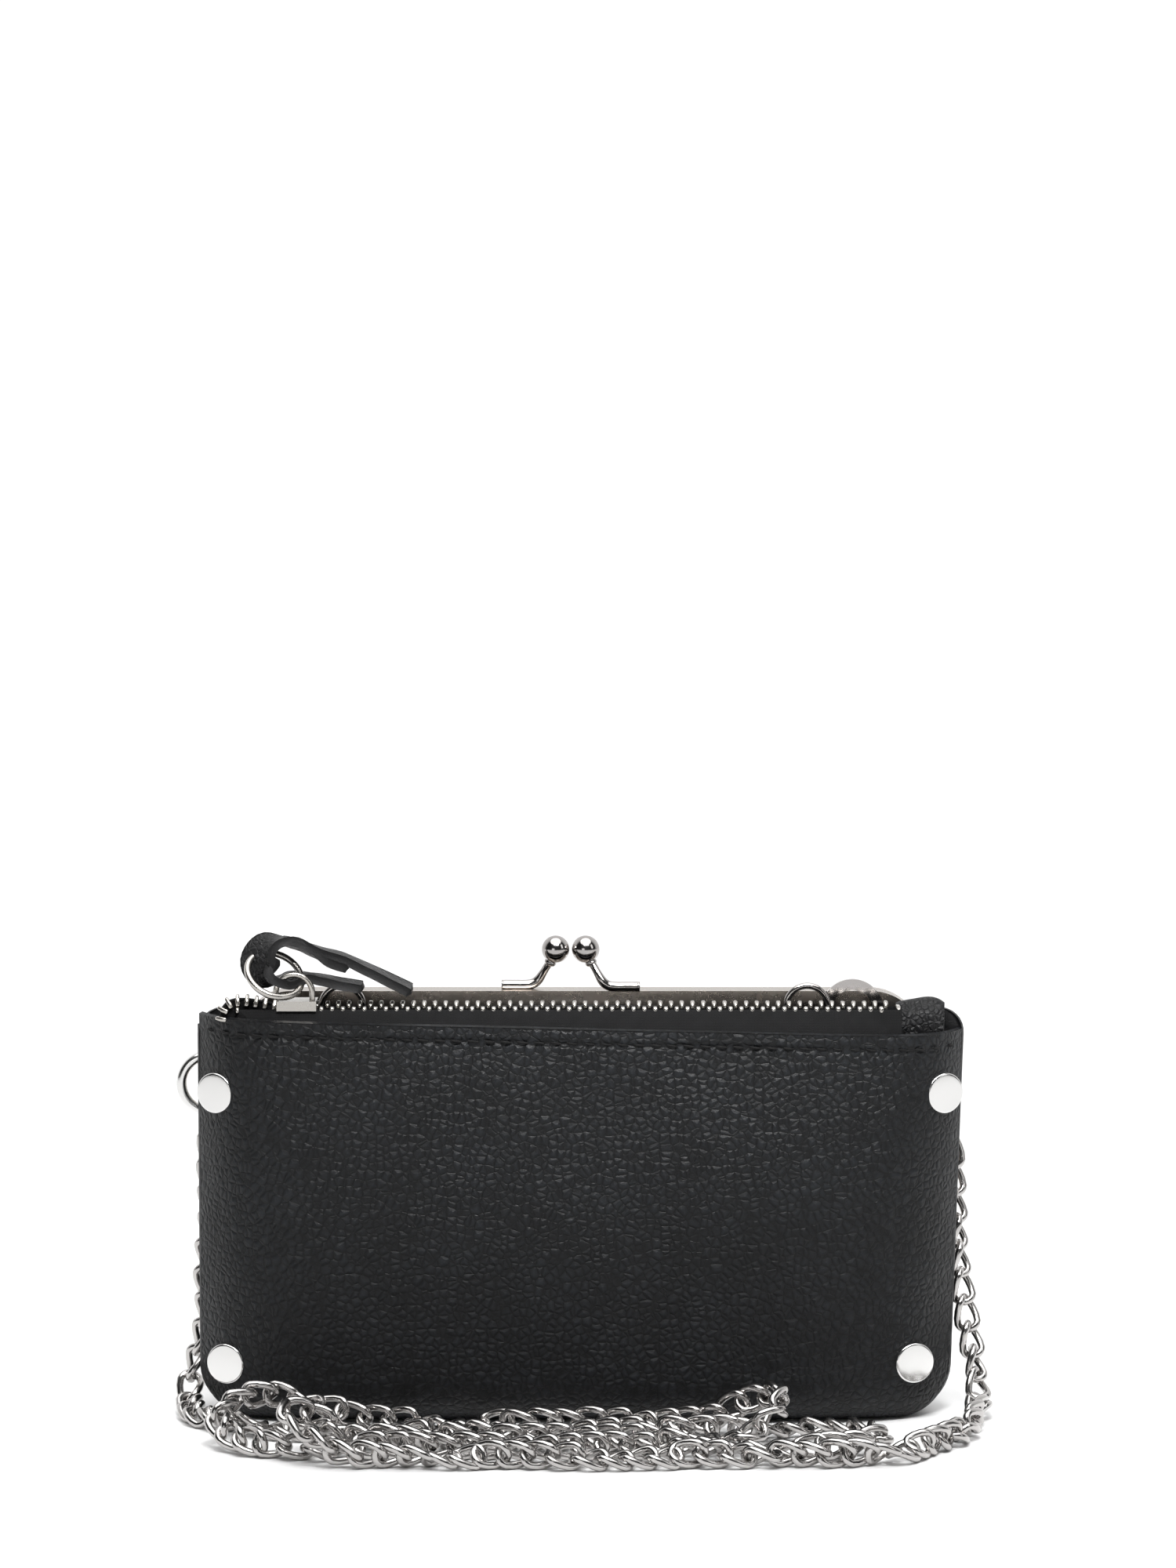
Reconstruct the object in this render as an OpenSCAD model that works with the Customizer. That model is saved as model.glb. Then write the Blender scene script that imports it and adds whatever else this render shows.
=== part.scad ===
// Double wallet on a chain: a zip pouch in front and a clasp-frame purse behind,
// joined along one back-to-back seam. Millimetres. X runs along the wallet, Y to the
// back, Z up. The wallet stands on its seam: the origin is under the middle panel.

/* [Overall] */
// Half of the pouch's width
half_w = 91; // [70:1:110]
// Height of the zip pouch at the middle of its front hem
hem_h = 94.8; // [75:0.2:120]
// Rise of the middle panel, which backs the zip pouch, above the front hem
middle_rise = 3.2; // [2:0.1:8]

/* [Leather] */
// Thickness of the outer leather
leather_t = 1.4; // [1:0.1:1.8]
// Thickness of the lining cloth
lining_t = 0.5; // [0.3:0.1:0.7]
// Room between a leather wall and its lining
lining_gap = 0.3; // [0.2:0.1:0.6]

/* [Zip pouch] */
// Depth of the pouch at its hem, from the middle panel to the outside
pouch_top_depth = 15.6; // [12:0.2:20]
// How much further the front bulges at half height
pouch_bulge = 2.2; // [0:0.2:4]
// Height over which the front turns under to the base
base_turn_h = 12; // [8:0.5:16]
// Depth of the flat part of the pouch's base
base_flat = 7; // [4:0.5:9]
// How sharply the front turns back at its sides, at the base
side_power = 8; // [4:1:10]
// How much sharper that turn is at the hem
hem_power = 6; // [0:1:8]
// Radius of the pouch's lower corners
lower_corner_r = 12; // [6:1:20]
// Fall of the front hem from left to right, per millimetre
hem_slope = 0.0225; // [0:0.0025:0.04]

/* [Zip] */
// Distance from one tooth to the next in a row
tooth_pitch = 2.54; // [2:0.02:3.2]
// Length of a tooth along the row
tooth_l = 1.3; // [1:0.05:1.5]
// Reach of a tooth from the tape towards the other row
tooth_w = 2.6; // [2.2:0.1:3]
// Height of a tooth
tooth_h = 1.9; // [1.5:0.1:2.2]
// Rise of the underside of the teeth above the front hem
teeth_rise = 2.8; // [2:0.1:4]
// Middle of the zip behind the front face of the middle panel, towards the front
zip_set = 7.9; // [7:0.1:9]
// Gap between the two rows, which the slider's web passes through
row_gap = 0.7; // [0.6:0.05:1]
// Thickness of the tapes
tape_t = 0.7; // [0.5:0.1:1]
// How much shorter the slider's travel is than the pouch is wide
zip_margin = 48; // [44:1:90]
// Room round the teeth inside the slider
slider_gap = 0.3; // [0.2:0.05:0.5]
// Length of the slider
slider_l = 9.3; // [8:0.1:11]
// Thickness of the slider's two plates
slider_plate_t = 1.1; // [0.8:0.1:1.4]

/* [Rivets] */
// Diameter of the rivet caps
rivet_d = 9.6; // [7:0.2:12]
// Thickness of the rivet caps
rivet_t = 1.8; // [1:0.1:2.4]
// Diameter of the rivet posts
rivet_post_d = 3; // [2:0.1:4]

/* [Purse] */
// How far the purse's leather stands out past the frame's legs at each side
purse_overhang = 1.5; // [1.5:0.1:4]
// Radius of the purse's upright corners
purse_corner_r = 10; // [6:0.5:14]
// How much narrower the clasp frame is than the pouch
frame_set_in = 17; // [12:1:40]
// Rise of the top of the clasp frame above the front hem
frame_rise = 6.2; // [5:0.1:10]
// Height of the frame's hinge above the base
hinge_h = 48; // [40:1:56]
// Thickness of one frame half, front to back
frame_t = 3.8; // [3.2:0.1:4.6]
// Width of the frame's band, seen from the front
frame_band = 6; // [5:0.5:8]
// Radius of the frame's upper corners, outside
frame_corner_r = 13; // [9:1:20]
// Gap between the two closed frame halves
frame_gap = 0.2; // [0.1:0.05:0.4]
// Distance from the middle panel's back face to the front frame half
valley = 5.6; // [5.5:0.1:8]

/* [Clasp] */
// Diameter of the clasp balls
ball_d = 6.7; // [5:0.1:8]
// Distance between the centres of the two balls, along the frame
ball_spacing = 7.2; // [7:0.1:10]
// Height of the ball centres above the frame
ball_rise = 9.8; // [8:0.1:14]
// Diameter of the clasp rods and stems
rod_d = 2.4; // [1.8:0.1:3]
// Diameter of the arms that carry the balls
arm_d = 2.1; // [1.4:0.1:2.6]

/* [Hinge] */
// Diameter of the hinge pins
pin_d = 2; // [1.6:0.1:2.4]
// Radial clearance of the pins in the moving ears
pin_clearance = 0.05; // [0.02:0.01:0.1]
// Radius of the hinge ears
ear_r = 3.2; // [2.6:0.1:3.6]

/* [Rings and chain] */
// Outer diameter of the side rings
side_ring_d = 16; // [12:0.5:20]
// Wire diameter of the side rings
side_wire_d = 2.5; // [2:0.1:2.6]
// Outer diameter of the round rings between the pouches
gap_ring_d = 11.6; // [9:0.2:14]
// Wire diameter of the round rings between the pouches
gap_wire_d = 1.5; // [1:0.1:1.6]
// Outer diameter of the flat ring
flat_ring_d = 15; // [12:0.2:18]
// Thickness of the flat ring
flat_ring_t = 1.2; // [0.8:0.1:1.3]
// Outer diameter of the puller ring
puller_ring_d = 15; // [12:0.5:18]
// Wire diameter of the puller ring
puller_wire_d = 1.6; // [1.2:0.1:2]
// Width of the chain
chain_d = 6.6; // [5:0.1:8]
// Wire diameter of a chain link
link_wire_d = 1.5; // [1.2:0.1:1.8]
// Outer length of a chain link
link_l = 9.8; // [8:0.1:12]

/* [Hidden] */
$fn = 48;
eps = 0.01;

// Colours
black_leather = [0.055, 0.06, 0.065];
lining_grey = [0.16, 0.16, 0.17];
tape_black = [0.04, 0.04, 0.045];
silver = [0.82, 0.82, 0.84];
gunmetal = [0.45, 0.43, 0.41];

// Sizes that follow from the pouch's width and its hem
middle_h = hem_h + middle_rise;
teeth_z = hem_h + teeth_rise;
zip_travel = 2 * half_w - zip_margin;
frame_w = 2 * half_w - frame_set_in;
frame_h = hem_h + frame_rise;
purse_half_w = frame_w / 2 + purse_overhang;

// Places along Y
middle_front_y = -leather_t / 2;
middle_back_y = leather_t / 2;
zip_y = middle_front_y - zip_set;
frame_front_y = middle_back_y + valley;
hinge_y = frame_front_y + frame_t + frame_gap / 2;
frame_back_y = hinge_y + frame_gap / 2;
front_groove_y = frame_front_y + frame_t / 2;
back_groove_y = frame_back_y + frame_t / 2;

// The flap's arc round the hinge, and the purse wall that it moves inside
flap_r = 9.9;
flap_clear = 0.5;
purse_wall_y = hinge_y + flap_r + flap_clear + leather_t;
purse_wall_top = hinge_h - 3.6;
leg_gap = 4;

// Samples of the soft shells
side_steps = 16;
wall_steps = 8;
turn_steps = 6;

// ---- vectors -------------------------------------------------------------------
function unit(v) = v / norm(v);
function lerp(a, b, t) = a + (b - a) * t;

// ---- sheets: a grid of points given a thickness -----------------------------------
function step_along(grid, i, j) = let (n = len(grid) - 1)
    grid[min(i + 1, n)][j] - grid[max(i - 1, 0)][j];
function step_across(grid, i, j) = let (n = len(grid[0]) - 1)
    grid[i][min(j + 1, n)] - grid[i][max(j - 1, 0)];
// Where a grid closes to a point at its side, its direction is sideways
function sheet_normal(grid, i, j) =
    let (n = cross(step_along(grid, i, j), step_across(grid, i, j)))
    norm(n) > 1e-6 ? unit(n) : [sign(grid[i][j].x), 0, 0];
function offset_grid(grid, t) = [for (i = [0:len(grid) - 1])
    [for (j = [0:len(grid[0]) - 1]) grid[i][j] + t * sheet_normal(grid, i, j)]];
function flatten(rows) = [for (row = rows) each row];

// Two faces for each cell of a grid that starts at point number base
function cell_faces(rows, cols, base, flip) = [for (i = [0:rows - 2], j = [0:cols - 2])
    let (a = base + i * cols + j, b = a + 1, c = a + cols, d = c + 1)
    each (flip ? [[a, c, b], [b, c, d]] : [[a, b, c], [b, d, c]])];

// The rim that closes the two grids along a list of point numbers
function rim_faces(edge, far, flip) = [for (k = [0:len(edge) - 2])
    let (a = edge[k], b = edge[k + 1], c = a + far, d = b + far)
    each (flip ? [[a, b, c], [b, d, c]] : [[a, c, b], [b, c, d]])];

// A closed sheet between two grids of points. Seen from outside, outer's rows run down
// and its columns run to the right.
module sheet(outer, inner) {
    rows = len(outer);
    cols = len(outer[0]);
    far = rows * cols;
    top = [for (j = [0:cols - 1]) j];
    bottom = [for (j = [0:cols - 1]) (rows - 1) * cols + j];
    left = [for (i = [0:rows - 1]) i * cols];
    right = [for (i = [0:rows - 1]) i * cols + cols - 1];
    polyhedron(
        points = concat(flatten(outer), flatten(inner)),
        faces = concat(
            cell_faces(rows, cols, 0, false),
            cell_faces(rows, cols, far, true),
            rim_faces(top, far, false),
            rim_faces(bottom, far, true),
            rim_faces(left, far, true),
            rim_faces(right, far, false)
        ),
        convexity = 6
    );
}

// ---- round bars -------------------------------------------------------------------
// A straight bar of diameter d from point p to point q
module bar(p, q, d) {
    run = q - p;
    flat = norm([run.x, run.y]);
    translate(p)
        rotate([0, atan2(flat, run.z), atan2(run.y, run.x)])
            cylinder(d = d, h = norm(run));
}

// A ring of round wire in the XY plane
module wire_ring(outer_d, wire_d) {
    rotate_extrude()
        translate([outer_d / 2 - wire_d / 2, 0])
            circle(d = wire_d);
}

// ---- the pouch's shape -----------------------------------------------------------
// Half the pouch's width at height z: the right side draws in towards the base
right_draw_in = 3;
function side_x(u, z) = u * (half_w - (u > 0 ? right_draw_in * (1 - z / hem_h) : 0));

// Height of the lower edge at u, with its rounded corners
function corner_lift(u) =
    let (over = max(0, abs(u) * half_w - (half_w - lower_corner_r)))
    lower_corner_r - sqrt(max(0, lower_corner_r * lower_corner_r - over * over));

// Depth of the front at height z, in the middle of the pouch
function wall_depth(z) = pouch_top_depth + pouch_bulge * sin(180 * min(1, z / hem_h));
function side_fade(u, z) = 1 - pow(abs(u), side_power + hem_power * pow(z / hem_h, 2));

// One point of the front. u runs from -1 to 1 across it, a profile point p is
// [depth, height] there, and shrink draws the sides in.
function pouch_point(u, p, shrink) =
    let (lift = corner_lift(u), z = lift + p[1] * (1 - lift / hem_h))
    [side_x(u, z) * (1 - shrink / half_w), middle_front_y - p[0] * side_fade(u, z), z];
function hem_z(u) = hem_h - hem_slope * u * half_w;

// The bases rise this much from the seam to where they turn up
base_rise = 0.3;

// The profile from the hem down the wall, round the turn and along the base
function wall_profile(u, d) = [for (k = [0:wall_steps])
    let (z = lerp(hem_z(u), base_turn_h, k / wall_steps)) [wall_depth(z) - d, z]];
function turn_profile(d) = [for (k = [1:turn_steps])
    let (a = 90 * k / turn_steps, deep = wall_depth(base_turn_h) - d)
    [base_flat + (deep - base_flat) * cos(a),
     d + base_rise + (base_turn_h - base_rise - d) * (1 - sin(a))]];
function pouch_profile(u, d) = concat(wall_profile(u, d), turn_profile(d), [[0, d]]);

u_samples = [for (k = [-side_steps:side_steps])
    let (t = k / side_steps) sign(t) * pow(abs(t), 0.8)];

// The front at a distance d inside its outer face
function pouch_grid(d) = let (n = wall_steps + turn_steps + 1)
    [for (i = [0:n]) [for (u = u_samples) pouch_point(u, pouch_profile(u, d)[i], d)]];

// The front's surface at a place across the pouch and a height, and its direction
function front_at(x, z) = pouch_point(x / half_w, [wall_depth(z), z], 0);
function front_normal(x, z) =
    let (dx = front_at(x + 1, z) - front_at(x - 1, z))
    let (dz = front_at(x, z + 1) - front_at(x, z - 1))
    unit(cross(dx, dz));

// ---- zip pouch --------------------------------------------------------------------
module pouch_front_panel() {
    color(black_leather)
        sheet(pouch_grid(0), pouch_grid(leather_t));
}

// Outline of the middle panel, in X and Z
upper_corner_r = 6;
function outline_low() = [for (u = u_samples)
    let (z = corner_lift(u)) [side_x(u, z), z]];
function outline_top(s) = [for (k = [0:6])
    let (a = 15 * k)
    [s * (half_w - upper_corner_r + upper_corner_r * cos(a)),
     middle_h - upper_corner_r + upper_corner_r * sin(a)]];

module middle_outline() {
    polygon(concat(
        outline_low(),
        outline_top(1),
        [for (k = [6:-1:0]) outline_top(-1)[k]]
    ));
}

// Extrudes an outline in X and Z from y to y + t
module slab(y, t) {
    translate([0, y + t, 0])
        rotate([90, 0, 0])
            linear_extrude(t)
                children();
}

module middle_panel() {
    color(black_leather)
        slab(middle_front_y, leather_t)
            middle_outline();
}

// The lining follows the front's inside, the base and the middle panel
lining_top = hem_h - 11.5;
lining_share = 0.85;
function lining_profile(d) = concat(
    [for (k = [0:wall_steps])
        let (z = lerp(lining_top, base_turn_h, k / wall_steps)) [wall_depth(z) - d, z]],
    turn_profile(d),
    [[lining_gap + lining_t, d], [lining_gap + lining_t, lining_top]]
);
function lining_point(u, p, d) =
    let (lift = corner_lift(u * lining_share))
    [side_x(u, p[1]) * lining_share,
     middle_front_y - lining_gap - max(0, p[0] - lining_gap) * lerp(side_fade(u, p[1]), 1, 0.12),
     lift + p[1]];
function lining_grid(d) = let (p = lining_profile(d))
    [for (i = [0:len(p) - 1]) [for (u = u_samples) lining_point(u, p[i], d)]];

module pouch_lining() {
    grid = lining_grid(leather_t + lining_gap + 0.4);
    color(lining_grey)
        sheet(grid, offset_grid(grid, -lining_t));
}

// ---- zip ---------------------------------------------------------------------------
slider_x = 24 - half_w;
zip_start = slider_x - slider_l / 2 - 8;
zip_end = slider_x + zip_travel + slider_l / 2 + 3;
teeth_count = floor((zip_end - zip_start) / tooth_pitch);
tape_z = teeth_z + tooth_h / 2;
tape_reach = row_gap / 2 + tooth_w;
tape_foot_h = 4;
tape_x0 = zip_start - 1;
tape_x1 = zip_end + 1;
tape_room = 0.35;
back_tape_foot = [middle_front_y - tape_t, middle_h - 6];

// Inside of the pouch's front at a place
function inside_y(x, z) = (front_at(x, z) - (leather_t + tape_room) * front_normal(x, z)).y;

// The front tape runs up the inside of the front and leans over to the teeth
tape_steps = 24;
function tape_grid(t) = [for (k = [0:3]) [for (i = [0:tape_steps])
    let (x = lerp(tape_x0, tape_x1, i / tape_steps), z = hem_z(x / half_w) - 4)
    k == 3
        ? [x, zip_y - tape_reach, tape_z + tape_t / 2 - t]
        : let (low = z - tape_foot_h * (2 - k) / 2) [x, inside_y(x, low) + t, low]]];

module zip_tape_front() {
    color(tape_black)
        sheet(tape_grid(0), tape_grid(tape_t));
}

module zip_tape_back() {
    foot = back_tape_foot;
    top = [zip_y + tape_reach, tape_z];
    color(tape_black)
        rotate([90, 0, 90])
            translate([0, 0, tape_x0])
                linear_extrude(tape_x1 - tape_x0)
                    polygon([
                        foot,
                        foot + [0, -tape_foot_h],
                        foot + [tape_t, -tape_foot_h],
                        foot + [tape_t, 0],
                        top + [0, tape_t / 2],
                        top + [0, -tape_t / 2]
                    ]);
}

module teeth_row(side, shift) {
    for (k = [0:teeth_count - 1])
        translate([
            zip_start + shift + k * tooth_pitch,
            side > 0 ? zip_y + row_gap / 2 : zip_y - row_gap / 2 - tooth_w,
            teeth_z
        ])
            cube([tooth_l, tooth_w, tooth_h]);
}

module zip_teeth_front() {
    color(silver)
        teeth_row(-1, 0);
}

module zip_teeth_back() {
    color(silver)
        teeth_row(1, tooth_pitch / 2);
}

// A closed stop at the open end of the travel, and one small stop on each row
stop_l = 1.6;
module zip_stops() {
    stop_w = 2 * tape_reach;
    start_stop_x = zip_start - stop_l - 0.6;
    color(silver) {
        translate([zip_end - 0.4, zip_y - stop_w / 2, teeth_z])
            cube([stop_l, stop_w, tooth_h]);
        for (side = [-1, 1])
            translate([start_stop_x, side > 0 ? zip_y + row_gap / 2 : zip_y - tape_reach, teeth_z])
                cube([stop_l, tooth_w, tooth_h]);
    }
}

// A leather tab folded over the closed end of the zip
tab_x = zip_end + 3;
tab_w = 8;
tab_t = 1.1;
tab_clear = 1.5;
module zip_end_tab() {
    front_y = inside_y(tab_x + tab_w, hem_h - 6) + tab_clear;
    back_y = middle_front_y;
    mid_y = (front_y + back_y) / 2;
    crest = teeth_z + 1.9;
    color(black_leather)
        rotate([90, 0, 90])
            translate([0, 0, tab_x])
                linear_extrude(tab_w)
                    polygon([
                        [front_y, hem_h - 10],
                        [front_y, hem_h - 4],
                        [mid_y - 1.6, crest - 0.5],
                        [mid_y, crest],
                        [mid_y + 1.6, crest - 0.5],
                        [back_y, middle_h - 4],
                        [back_y, middle_h - 10],
                        [back_y - tab_t, middle_h - 10],
                        [back_y - tab_t, middle_h - 4.4],
                        [mid_y + 1.1, crest - tab_t - 0.4],
                        [mid_y - 1.1, crest - tab_t - 0.4],
                        [front_y + tab_t, hem_h - 4.4],
                        [front_y + tab_t, hem_h - 10]
                    ]);
}

// ---- rivets ------------------------------------------------------------------------
rivet_places = [[5 - half_w, hem_h - 16.3], [half_w - 5, hem_h - 16.3],
                [7 - half_w, 13], [half_w - 10, 14.5]];
rivet_bite = 0.5;

// Places its children on the front's surface, with +Z pointing out of the leather.
// The rivets pull the curved leather flatter, so they face a little more to the front.
rivet_pull = 0.9;
module on_front(place) {
    n = unit(front_normal(place[0], place[1]) + [0, -rivet_pull, 0]);
    translate(front_at(place[0], place[1]))
        rotate([0, acos(n.z), atan2(n.y, n.x)])
            children();
}

module rivet_caps() {
    color(silver)
        for (place = rivet_places)
            on_front(place) {
                translate([0, 0, -rivet_bite])
                    cylinder(d = rivet_d, h = rivet_t + rivet_bite);
                translate([0, 0, -leather_t - lining_gap])
                    cylinder(d = rivet_post_d, h = leather_t + lining_gap);
            }
}

module rivet_bases() {
    base_t = 0.8;
    base_d = 5;
    color(silver)
        for (place = rivet_places)
            on_front(place)
                translate([0, 0, -leather_t - lining_gap - base_t])
                    cylinder(d = base_d, h = base_t);
}

// ---- slider and puller --------------------------------------------------------------
channel_top = teeth_z + tooth_h + slider_gap;
channel_low = teeth_z - slider_gap;
slider_top = channel_top + slider_plate_t;
bail_w = 10;
bail_wire = 1.4;
bail_x = slider_x - 0.8;

module slider_body() {
    outer_w = 2 * (tape_reach + slider_gap) + 1.4;
    low_w = 5.4;
    flange_w = 0.7;
    flange_h = 1.2;
    web_t = row_gap - 0.3;
    nose_l = 3;
    color(silver) {
        // top plate
        translate([slider_x - slider_l / 2, zip_y - outer_w / 2, channel_top])
            cube([slider_l, outer_w, slider_plate_t]);
        // flanges beside the teeth
        for (side = [0, 1])
            translate([
                slider_x - slider_l / 2,
                zip_y - outer_w / 2 + side * (outer_w - flange_w),
                channel_top - flange_h
            ])
                cube([slider_l, flange_w, flange_h + eps]);
        // bottom plate
        translate([slider_x - slider_l / 2, zip_y - low_w / 2, channel_low - slider_plate_t])
            cube([slider_l, low_w, slider_plate_t]);
        // web between the plates, in the gap between the rows
        translate([slider_x - slider_l / 2, zip_y - web_t / 2, channel_low - eps])
            cube([nose_l, web_t, channel_top - channel_low + 2 * eps]);
    }
}

// The bail is half a ring on two short legs
bail_mid_r = (bail_w - bail_wire) / 2;
bail_leg = 1.6;
module slider_bail() {
    color(silver)
        translate([bail_x, zip_y, slider_top]) {
            translate([0, 0, bail_leg])
                rotate([90, 0, 0])
                    rotate_extrude(angle = 180)
                        translate([bail_mid_r, 0])
                            circle(d = bail_wire);
            for (side = [-1, 1])
                translate([side * bail_mid_r, 0, 0])
                    cylinder(d = bail_wire, h = bail_leg);
        }
}

// The puller ring hangs in the bail and leans to the closed end
pull_x = bail_x + 1.4;
pull_z = slider_top + 2.8;
ring_tilt = 38;
ring_lean = 27;
puller_mid_r = (puller_ring_d - puller_wire_d) / 2;
ring_centre = [pull_x - puller_mid_r * cos(ring_lean), zip_y,
               pull_z + puller_mid_r * sin(ring_lean)];

module puller_ring() {
    color(silver)
        translate(ring_centre)
            rotate([0, ring_lean, 0])
                rotate([ring_tilt, 0, 0])
                    wire_ring(puller_ring_d, puller_wire_d);
}

// The strap is folded round the ring and its two layers run to the right
strap_t = 1.6;
strap_clear = 0.7;
strap_y0 = zip_y + bail_wire / 2 + strap_clear;
strap_w = middle_back_y - strap_y0;
fold_x = ring_centre.x - 1;
fold_z = ring_centre.z + 2.6;
fold_r = 3.8;

// One layer: a band of even thickness along points in X and Z
module band(points, t) {
    for (k = [0:len(points) - 2])
        hull() {
            translate(points[k]) circle(d = t, $fn = 12);
            translate(points[k + 1]) circle(d = t, $fn = 12);
        }
}

module pull_strap() {
    rise = slider_top + 2;
    color(black_leather)
        slab(strap_y0, strap_w)
            union() {
                difference() {
                    translate([fold_x, fold_z]) circle(r = fold_r);
                    translate([fold_x, fold_z]) circle(r = fold_r - strap_t);
                }
                band([[fold_x + 1, fold_z + fold_r - 0.8], [fold_x + 10, rise + 8.5],
                      [fold_x + 22, rise + 5], [fold_x + 35, rise]], strap_t);
                band([[fold_x + 1, fold_z - fold_r + 0.8], [fold_x + 13, rise + 2.6],
                      [fold_x + 22, rise]], strap_t);
            }
}

// ---- purse: fixed part ----------------------------------------------------------------
groove_d = 3;
lower_panel_h = hinge_h - leg_gap;
purse_base_flat = 9;
purse_turn_h = 11;

// The front panel stands in the front frame half above and spreads below the hinge
function panel_profile(y0, y1, t, top) = [
    [y0, 0], [y0, 3], [y1, hinge_h + 1], [y1, top],
    [y1 + t, top], [y1 + t, hinge_h + 1], [y0 + t, 3], [y0 + t, 0]
];

// Outline of what the frame holds: a share of the frame's inside plus the groove
module framed_outline(low) {
    w = frame_w / 2 - frame_band + groove_d;
    top = frame_h - frame_band + groove_d;
    r = frame_corner_r - frame_band + groove_d;
    intersection() {
        translate([-w, low])
            square([2 * w, top - low]);
        union() {
            translate([-w, low]) square([2 * w, top - r - low]);
            translate([-w + r, low]) square([2 * (w - r), top - low]);
            for (side = [-1, 1])
                translate([side * (w - r), top - r]) circle(r = r);
        }
    }
}

module purse_front_panel() {
    top = frame_h - frame_band + groove_d;
    ear_room = frame_w / 2 - frame_band - 1.2;
    leg_low = hinge_h + leg_gap;
    color(black_leather)
        intersection() {
            translate([-purse_half_w, 0, 0])
                rotate([90, 0, 90])
                    linear_extrude(2 * purse_half_w)
                        polygon(panel_profile(
                            middle_back_y, front_groove_y - leather_t / 2, leather_t, top));
            slab(0, 20)
                union() {
                    translate([-purse_half_w, 0]) square([2 * purse_half_w, lower_panel_h - 1]);
                    translate([-ear_room, lower_panel_h - 2])
                        square([2 * ear_room, leg_low - lower_panel_h + 4]);
                    framed_outline(leg_low + 0.4);
                }
        }
}

// Back face of the front panel at height z, where the purse's other walls start
function seam_y(z) = middle_back_y + leather_t
    + max(0, z - 3) / (hinge_h - 2) * (front_groove_y - leather_t / 2 - middle_back_y);

// Samples round the purse's plan: along the back, and round the upright corners
corner_steps = 6;
function plan_half() = concat(
    [for (k = [0:3]) [(purse_half_w - purse_corner_r) * k / 3, 1]],
    [for (k = [1:corner_steps]) let (a = 90 * k / corner_steps)
        [purse_half_w - purse_corner_r * (1 - sin(a)), cos(a)]]
);
function plan_samples() = let (h = plan_half(), n = len(h) - 1)
    concat([for (k = [n:-1:1]) [-h[k][0], h[k][1]]], h);

function purse_profile(d, top) = concat(
    [[seam_y(0), d]],
    [for (k = [0:turn_steps]) let (a = 90 * k / turn_steps)
        [lerp(purse_base_flat, purse_wall_y - d, sin(a)),
         d + base_rise + (purse_turn_h - base_rise - d) * (1 - cos(a))]],
    [for (k = [1:4]) [purse_wall_y - d, lerp(purse_turn_h, top, k / 4)]]
);

// The purse's back wall at a distance d inside its outer face
function purse_grid(d, top) =
    [for (p = purse_profile(d, top)) [for (s = plan_samples())
        let (ys = min(seam_y(p[1]), p[0]))
        [s[0] * (1 - d / purse_half_w), ys + (p[0] - ys) * s[1], p[1]]]];

module purse_back_panel() {
    color(black_leather)
        sheet(purse_grid(leather_t, purse_wall_top), purse_grid(0, purse_wall_top));
}

module purse_lining() {
    back_top = hinge_h - 5;
    outside = leather_t + lining_gap;
    color(lining_grey)
        sheet(purse_grid(outside + lining_t, back_top), purse_grid(outside, back_top));
}

// ---- clasp frame ------------------------------------------------------------------------
// The band of one frame half, in X and Z, with legs down to height low
module frame_band_outline(low, inset) {
    w = frame_w / 2;
    inner_w = w - frame_band + inset;
    top = frame_h - frame_band + inset;
    r = frame_corner_r;
    inner_r = max(1, r - frame_band + inset);
    difference() {
        union() {
            translate([-w, low]) square([2 * w, frame_h - r - low]);
            translate([-w + r, low]) square([2 * (w - r), frame_h - low]);
            for (side = [-1, 1])
                translate([side * (w - r), frame_h - r]) circle(r = r);
        }
        union() {
            translate([-inner_w, low - 1]) square([2 * inner_w, top - inner_r - low + 1]);
            translate([-inner_w + inner_r, low - 1])
                square([2 * (inner_w - inner_r), top - low + 1]);
            for (side = [-1, 1])
                translate([side * (inner_w - inner_r), top - inner_r]) circle(r = inner_r);
        }
    }
}

// A frame half: a band with a groove for the leather
module frame_half(y) {
    low = hinge_h + leg_gap;
    difference() {
        slab(y, frame_t)
            frame_band_outline(low, 0);
        slab(y + frame_t / 2 - leather_t / 2, leather_t)
            intersection() {
                framed_outline(low - 1);
                square([frame_w, 4 * frame_h], center = true);
            }
    }
}

// Ears of a frame half, one at each side, from x0 to x1 measured from the middle
ear_t = 2.5;
front_ear_x = frame_w / 2 - frame_band;
back_ear_x = front_ear_x + ear_t + 0.2;

module ears(x0, y, bore_d) {
    for (side = [-1, 1])
        difference() {
            union() {
                translate([side * (x0 + ear_t / 2), hinge_y, hinge_h])
                    rotate([0, 90, 0])
                        cylinder(r = ear_r, h = ear_t, center = true);
                translate([side * (x0 + ear_t / 2) - ear_t / 2, y, hinge_h])
                    cube([ear_t, frame_t, leg_gap + eps]);
            }
            translate([side * (x0 + ear_t / 2), hinge_y, hinge_h])
                rotate([0, 90, 0])
                    cylinder(d = bore_d, h = ear_t + 1, center = true);
            // keep to its own side of the hinge line below the leg
            translate([side * (x0 + ear_t / 2) - ear_t, y < hinge_y - 1
                ? hinge_y + frame_gap / 2 : hinge_y - frame_gap / 2 - 20, hinge_h + ear_r - 0.2])
                cube([2 * ear_t, 20, leg_gap]);
        }
}

module frame_front() {
    color(gunmetal) {
        frame_half(frame_front_y);
        ears(front_ear_x, frame_front_y, pin_d);
    }
}

module frame_back() {
    color(gunmetal) {
        frame_half(frame_back_y);
        ears(back_ear_x, frame_back_y, pin_d + 2 * pin_clearance);
    }
}

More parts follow.
